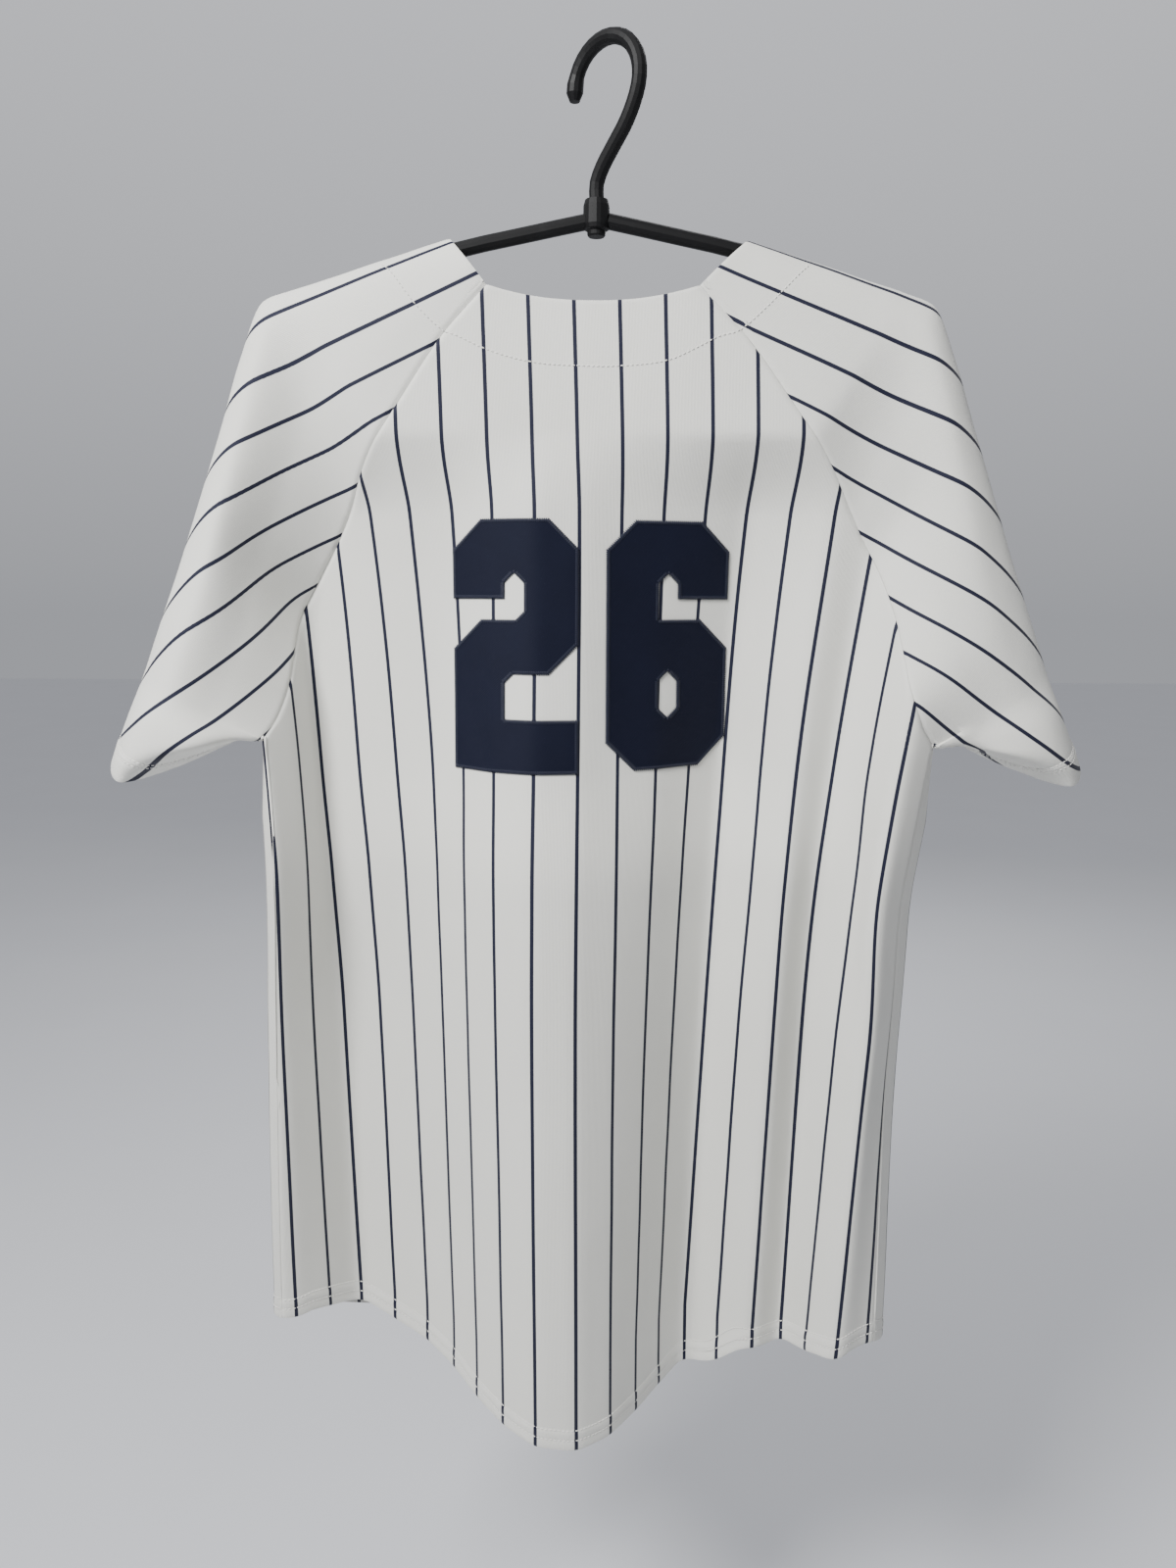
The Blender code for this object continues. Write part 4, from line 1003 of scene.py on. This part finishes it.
def numeral(name, outlines):
    """A numeral laid on the back, with its zigzag."""
    left = NUMERAL_LEFT_X[name]
    outlines = [[Vector((left + x, NUMERAL_BASE_Z + z, 0.0)) for x, z in outline] for outline in outlines]
    flat = bmesh.new()
    corners = [flat.verts.new(p) for outline in outlines for p in outline]
    for face in tessellate_polygon(outlines):
        flat.faces.new([corners[k] for k in face])
    for axis in range(2):
        values = [v.co[axis] for v in flat.verts]
        for cut in np.arange(min(values) + TWILL_FACET, max(values), TWILL_FACET):
            way = Vector((1.0, 0.0, 0.0)) if axis == 0 else Vector((0.0, 1.0, 0.0))
            bmesh.ops.bisect_plane(flat, geom=flat.verts[:] + flat.edges[:] + flat.faces[:], dist=1e-6,
                                   plane_co=way * float(cut), plane_no=way)
    bmesh.ops.remove_doubles(flat, verts=flat.verts[:], dist=2e-5)
    flat.verts.index_update()
    places = [on_the_back(upper_back, v.co.x, v.co.y) for v in flat.verts]
    faces = [[v.index for v in face.verts] for face in flat.faces]
    rim = [(e.link_loops[0].vert.index, e.link_loops[0].link_loop_next.vert.index)
           for e in flat.edges if len(e.link_faces) == 1]
    flat.free()
    count = len(places)
    points = [p + n * TWILL_UNDER - SEAT for p, n in places] + [p + n * TWILL_FACE - SEAT for p, n in places]
    faces = ([tuple(reversed(f)) for f in faces] + [tuple(k + count for k in f) for f in faces]
             + [(a, b, b + count, a + count) for a, b in rim])
    mesh = faced_mesh("jersey_" + name, points, faces, twill_material)
    mesh.set_sharp_from_angle(angle=math.radians(40))
    obj = shown("jersey_" + name, mesh, name)

    stitches = []
    for outline in outlines:
        turn = sum(a.x * b.y - b.x * a.y for a, b in zip(outline, outline[1:] + outline[:1]))
        for a, b in zip(outline, outline[1:] + outline[:1]):
            inward = Vector((a.y - b.y, b.x - a.x, 0.0)).normalized() * (1 if turn > 0 else -1)
            if outline is not outlines[0]:
                inward = -inward
            steps = max(int((b - a).length / ZIGZAG_PITCH), 1)
            for k in range(steps):
                outer = a + (b - a) * (k / steps) - inward * ZIGZAG_OUT
                inner = a + (b - a) * ((k + 0.5) / steps) + inward * ZIGZAG_IN
                after = a + (b - a) * ((k + 1) / steps) - inward * ZIGZAG_OUT
                for start, end in ((outer, inner), (inner, after)):
                    ends = [on_the_back(upper_back, p.x, p.y) for p in (start, end)]
                    lift = [ZIGZAG_ON_TWILL if p is inner else ZIGZAG_ON_CLOTH for p in (start, end)]
                    stitches.append((ends[0][0] + ends[0][1] * lift[0], ends[1][0] + ends[1][1] * lift[1],
                                     ends[0][1]))
    edge = stitch_object("zigzag_" + name, stitches, ZIGZAG_RADIUS, navy_thread)
    return [obj, edge]


twill_material = twill()
navy_thread = thread("navy_thread", THREAD_NAVY)
number = []
for name, outlines in numeral_outlines().items():
    number += numeral(name, outlines)


# Buttons
# Seven white resin buttons with a raised rim and four holes, each sewn on with crossed thread.
BUTTON_RADIUS, BUTTON_DEPTH, BUTTON_RIM, BUTTON_DISH = 0.0075, 0.0026, 0.0019, 0.0008
BUTTON_HOLE, BUTTON_HOLE_OUT = 0.0009, 0.0019
BUTTON_ROUNDING, BUTTON_STEP, BUTTON_STEP_RISE = 0.0006, 0.0006, 0.0002
BUTTON_THREAD_RADIUS, BUTTON_THREAD_LIFT, BUTTON_THREAD_PAST_HOLE = 0.0004, 0.0004, 0.0004
RESIN_DULL, RESIN_WHITE = (0.80, 0.79, 0.74, 1.0), (0.90, 0.89, 0.86, 1.0)


def button_resin():
    made, surface, shade = start_material("button_resin", Specular_IOR_Level=0.5)
    place = shade.node("TexCoord", output="Object")
    swirl = shade.noise(place, 160.0, 4.0, 0.6)
    swirl.mix(RESIN_DULL, RESIN_WHITE).feed(surface, "Base Color")
    (swirl * 0.15 + 0.20).feed(surface, "Roughness")
    return made


def deselect():
    for other in bpy.context.selected_objects:
        other.select_set(False)


deselect()
bpy.ops.mesh.primitive_cylinder_add(vertices=40, radius=BUTTON_RADIUS, depth=BUTTON_DEPTH,
                                    location=(0.0, 0.0, BUTTON_DEPTH / 2))
button = bpy.context.object
bpy.ops.object.transform_apply(location=True, rotation=False, scale=False)
bpy.ops.object.mode_set(mode="EDIT")
bpy.ops.mesh.select_mode(type="FACE")
bpy.ops.mesh.select_all(action="DESELECT")
work = bmesh.from_edit_mesh(button.data)
for face in work.faces:
    face.select_set(face.normal.z > 0.9)
bmesh.update_edit_mesh(button.data)
bpy.ops.mesh.inset(thickness=BUTTON_RIM)
bpy.ops.transform.translate(value=(0.0, 0.0, -BUTTON_DISH))
bpy.ops.mesh.inset(thickness=BUTTON_STEP)
bpy.ops.transform.translate(value=(0.0, 0.0, BUTTON_STEP_RISE))
bpy.ops.object.mode_set(mode="OBJECT")
soft = button.modifiers.new("rounded", "BEVEL")
soft.width, soft.segments, soft.angle_limit = BUTTON_ROUNDING, 3, math.radians(35)
bpy.ops.object.modifier_apply(modifier="rounded")
for k in range(4):
    angle = math.pi / 4 + k * math.pi / 2
    deselect()
    bpy.ops.mesh.primitive_cylinder_add(
        vertices=16, radius=BUTTON_HOLE, depth=0.01,
        location=(BUTTON_HOLE_OUT * math.cos(angle), BUTTON_HOLE_OUT * math.sin(angle), 0.0))
    drill = bpy.context.object
    deselect()
    bpy.context.view_layer.objects.active = button
    button.select_set(True)
    hole = button.modifiers.new("hole", "BOOLEAN")
    hole.object, hole.operation, hole.solver = drill, "DIFFERENCE", "EXACT"
    bpy.ops.object.modifier_apply(modifier="hole")
    bpy.data.objects.remove(drill, do_unlink=True)
bpy.ops.object.shade_smooth_by_angle(angle=math.radians(40))
deselect()
button.data.materials.append(button_resin())
button_pattern = button.data
bpy.data.objects.remove(button)

button_pieces, button_threads = [], []
for k in range(7):
    node = bpy.data.objects["button_%d" % (k + 1)]
    points = np.array([v.co for v in node.data.vertices])
    middle = points.mean(0)
    axis = np.linalg.svd(points - middle)[2][2]
    axis *= np.sign(axis[1])
    seat = middle + axis * float(((points - middle) @ axis).min())
    place = Matrix.Translation(seat) @ Vector(axis).to_track_quat("Z", "Y").to_matrix().to_4x4()
    mesh = button_pattern.copy()
    mesh.transform(place)
    button_pieces.append(shown("jersey_button_%d" % (k + 1), mesh, "button_%d" % (k + 1)))
    top = BUTTON_DEPTH - BUTTON_DISH + BUTTON_THREAD_LIFT
    for turn in (0, 1):
        angle = math.pi / 4 + turn * math.pi / 2
        arm = Vector((math.cos(angle), math.sin(angle), 0.0)) * (BUTTON_HOLE_OUT + BUTTON_THREAD_PAST_HOLE)
        ends = [np.array(place @ (way * arm + Vector((0.0, 0.0, top)))) + SEAT for way in (-1, 1)]
        button_threads.append((ends[0], ends[1], axis))
button_threads = stitch_object("button_thread", button_threads, BUTTON_THREAD_RADIUS, white_thread)


# The five pieces of cloth as they were cut, with what is sewn on each
def cut(name, flat, area, with_pieces):
    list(with_pieces)


cut("jersey_back", (0.593, 0.792), 0.361, [*number, facing_stitches])
cut("jersey_front_left", (0.318, 0.776), 0.189, [*button_pieces, button_threads])
cut("jersey_front_right", (0.318, 0.776), 0.189, [])
cut("jersey_sleeve_left", (0.301, 0.448), 0.089, [])
cut("jersey_sleeve_right", (0.301, 0.448), 0.089, [])


# Hanger
# Two round arms moulded with the hub in satin black plastic, and a black hook. Both keep their solids' shape
# and get a material with a fine grain.
HANGER_BLACK, HANGER_WORN = (0.0040, 0.0040, 0.0044, 1.0), (0.0110, 0.0110, 0.0118, 1.0)


def hanger_plastic():
    made, surface, shade = start_material("hanger_plastic", Specular_IOR_Level=0.22)
    place = shade.node("TexCoord", output="Object")
    grain = shade.noise(place, 1500.0, 2.0)
    rub = shade.noise(place, 38.0, 4.0, 0.6)
    worn = rub.fade(0.72, 0.56)
    (worn * 0.55 + grain * 0.2).mix(HANGER_BLACK, HANGER_WORN).feed(surface, "Base Color")
    (0.46 + worn * 0.10 + grain * 0.08).feed(surface, "Roughness")
    (grain + rub * 0.5).bump(surface, 0.25, 0.00008)
    return made


plastic = hanger_plastic()
for name in ("hanger_arms", "hanger_hook"):
    bpy.data.objects[name].data.materials.clear()
    bpy.data.objects[name].data.materials.append(plastic)


# Studio
# A pale floor well below the hem, a pale room and two large soft lights, as for a picture of hung clothes.
FLOOR_Z, FLOOR_SIZE = -1.32, 24.0
FLOOR_DARK, FLOOR_PALE = (0.66, 0.67, 0.70, 1.0), (0.69, 0.70, 0.73, 1.0)
ROOM_FADE = (0.42, -0.02)  # heights of view between which the room pales
ROOM_LOW, ROOM_HIGH = (0.40, 0.41, 0.44, 1.0), (0.74, 0.75, 0.79, 1.0)
ROOM_STRENGTH, ROOM_TURN = 0.66, 0.28  # brighter on the side away from the camera
CAMERA_PLACE = (-0.009581, -0.795179, -0.33242)
SENSOR_HEIGHT, LENS = 36.0, 27.045  # millimetres
CAMERA_TILT, CAMERA_ROLL = math.radians(90.0 - 9.4), math.radians(0.25)


def floor_paint():
    made, surface, shade = start_material("floor_paint", Roughness=0.9)
    place = shade.node("TexCoord", output="Object")
    shade.noise(place, 3.0, 2.0).mix(FLOOR_DARK, FLOOR_PALE).feed(surface, "Base Color")
    return made


bpy.ops.mesh.primitive_plane_add(size=FLOOR_SIZE, location=(0.0, 0.0, FLOOR_Z))
floor = bpy.context.object
floor.name = "studio_floor"
floor.data.materials.append(floor_paint())

world = bpy.data.worlds.new("room")
bpy.context.scene.world = world
world.use_nodes = True
room = Shade(world.node_tree)
_, way_y, way_z = room.node("TexCoord", output="Generated").parts()
background = world.node_tree.nodes["Background"]
way_z.fade(*ROOM_FADE).mix(ROOM_LOW, ROOM_HIGH).feed(background, "Color")
(way_y * ROOM_TURN + ROOM_STRENGTH).feed(background, "Strength")


def soft_light(name, place, target, size, power):
    lamp = bpy.data.lights.new(name, "AREA")
    lamp.shape, lamp.size, lamp.energy = "DISK", size, power
    obj = linked(name, lamp)
    obj.location = place
    obj.rotation_euler = (Vector(target) - Vector(place)).to_track_quat("-Z", "Y").to_euler()


soft_light("key_light", (-0.80, -1.05, 0.70), (0.0, 0.0, -0.30), 0.6, 54.0)
soft_light("back_light", (0.5, 2.4, 1.0), (0.0, 0.0, -0.45), 1.6, 30.0)

camera = linked("camera", bpy.data.cameras.new("camera"))
camera.data.sensor_fit = "VERTICAL"
camera.data.sensor_height = SENSOR_HEIGHT
camera.data.lens = LENS
camera.data.clip_start = 0.01
camera.matrix_world = (Matrix.Translation(CAMERA_PLACE) @ Matrix.Rotation(CAMERA_TILT, 4, "X")
                       @ Matrix.Rotation(CAMERA_ROLL, 4, "Z"))
bpy.context.scene.camera = camera
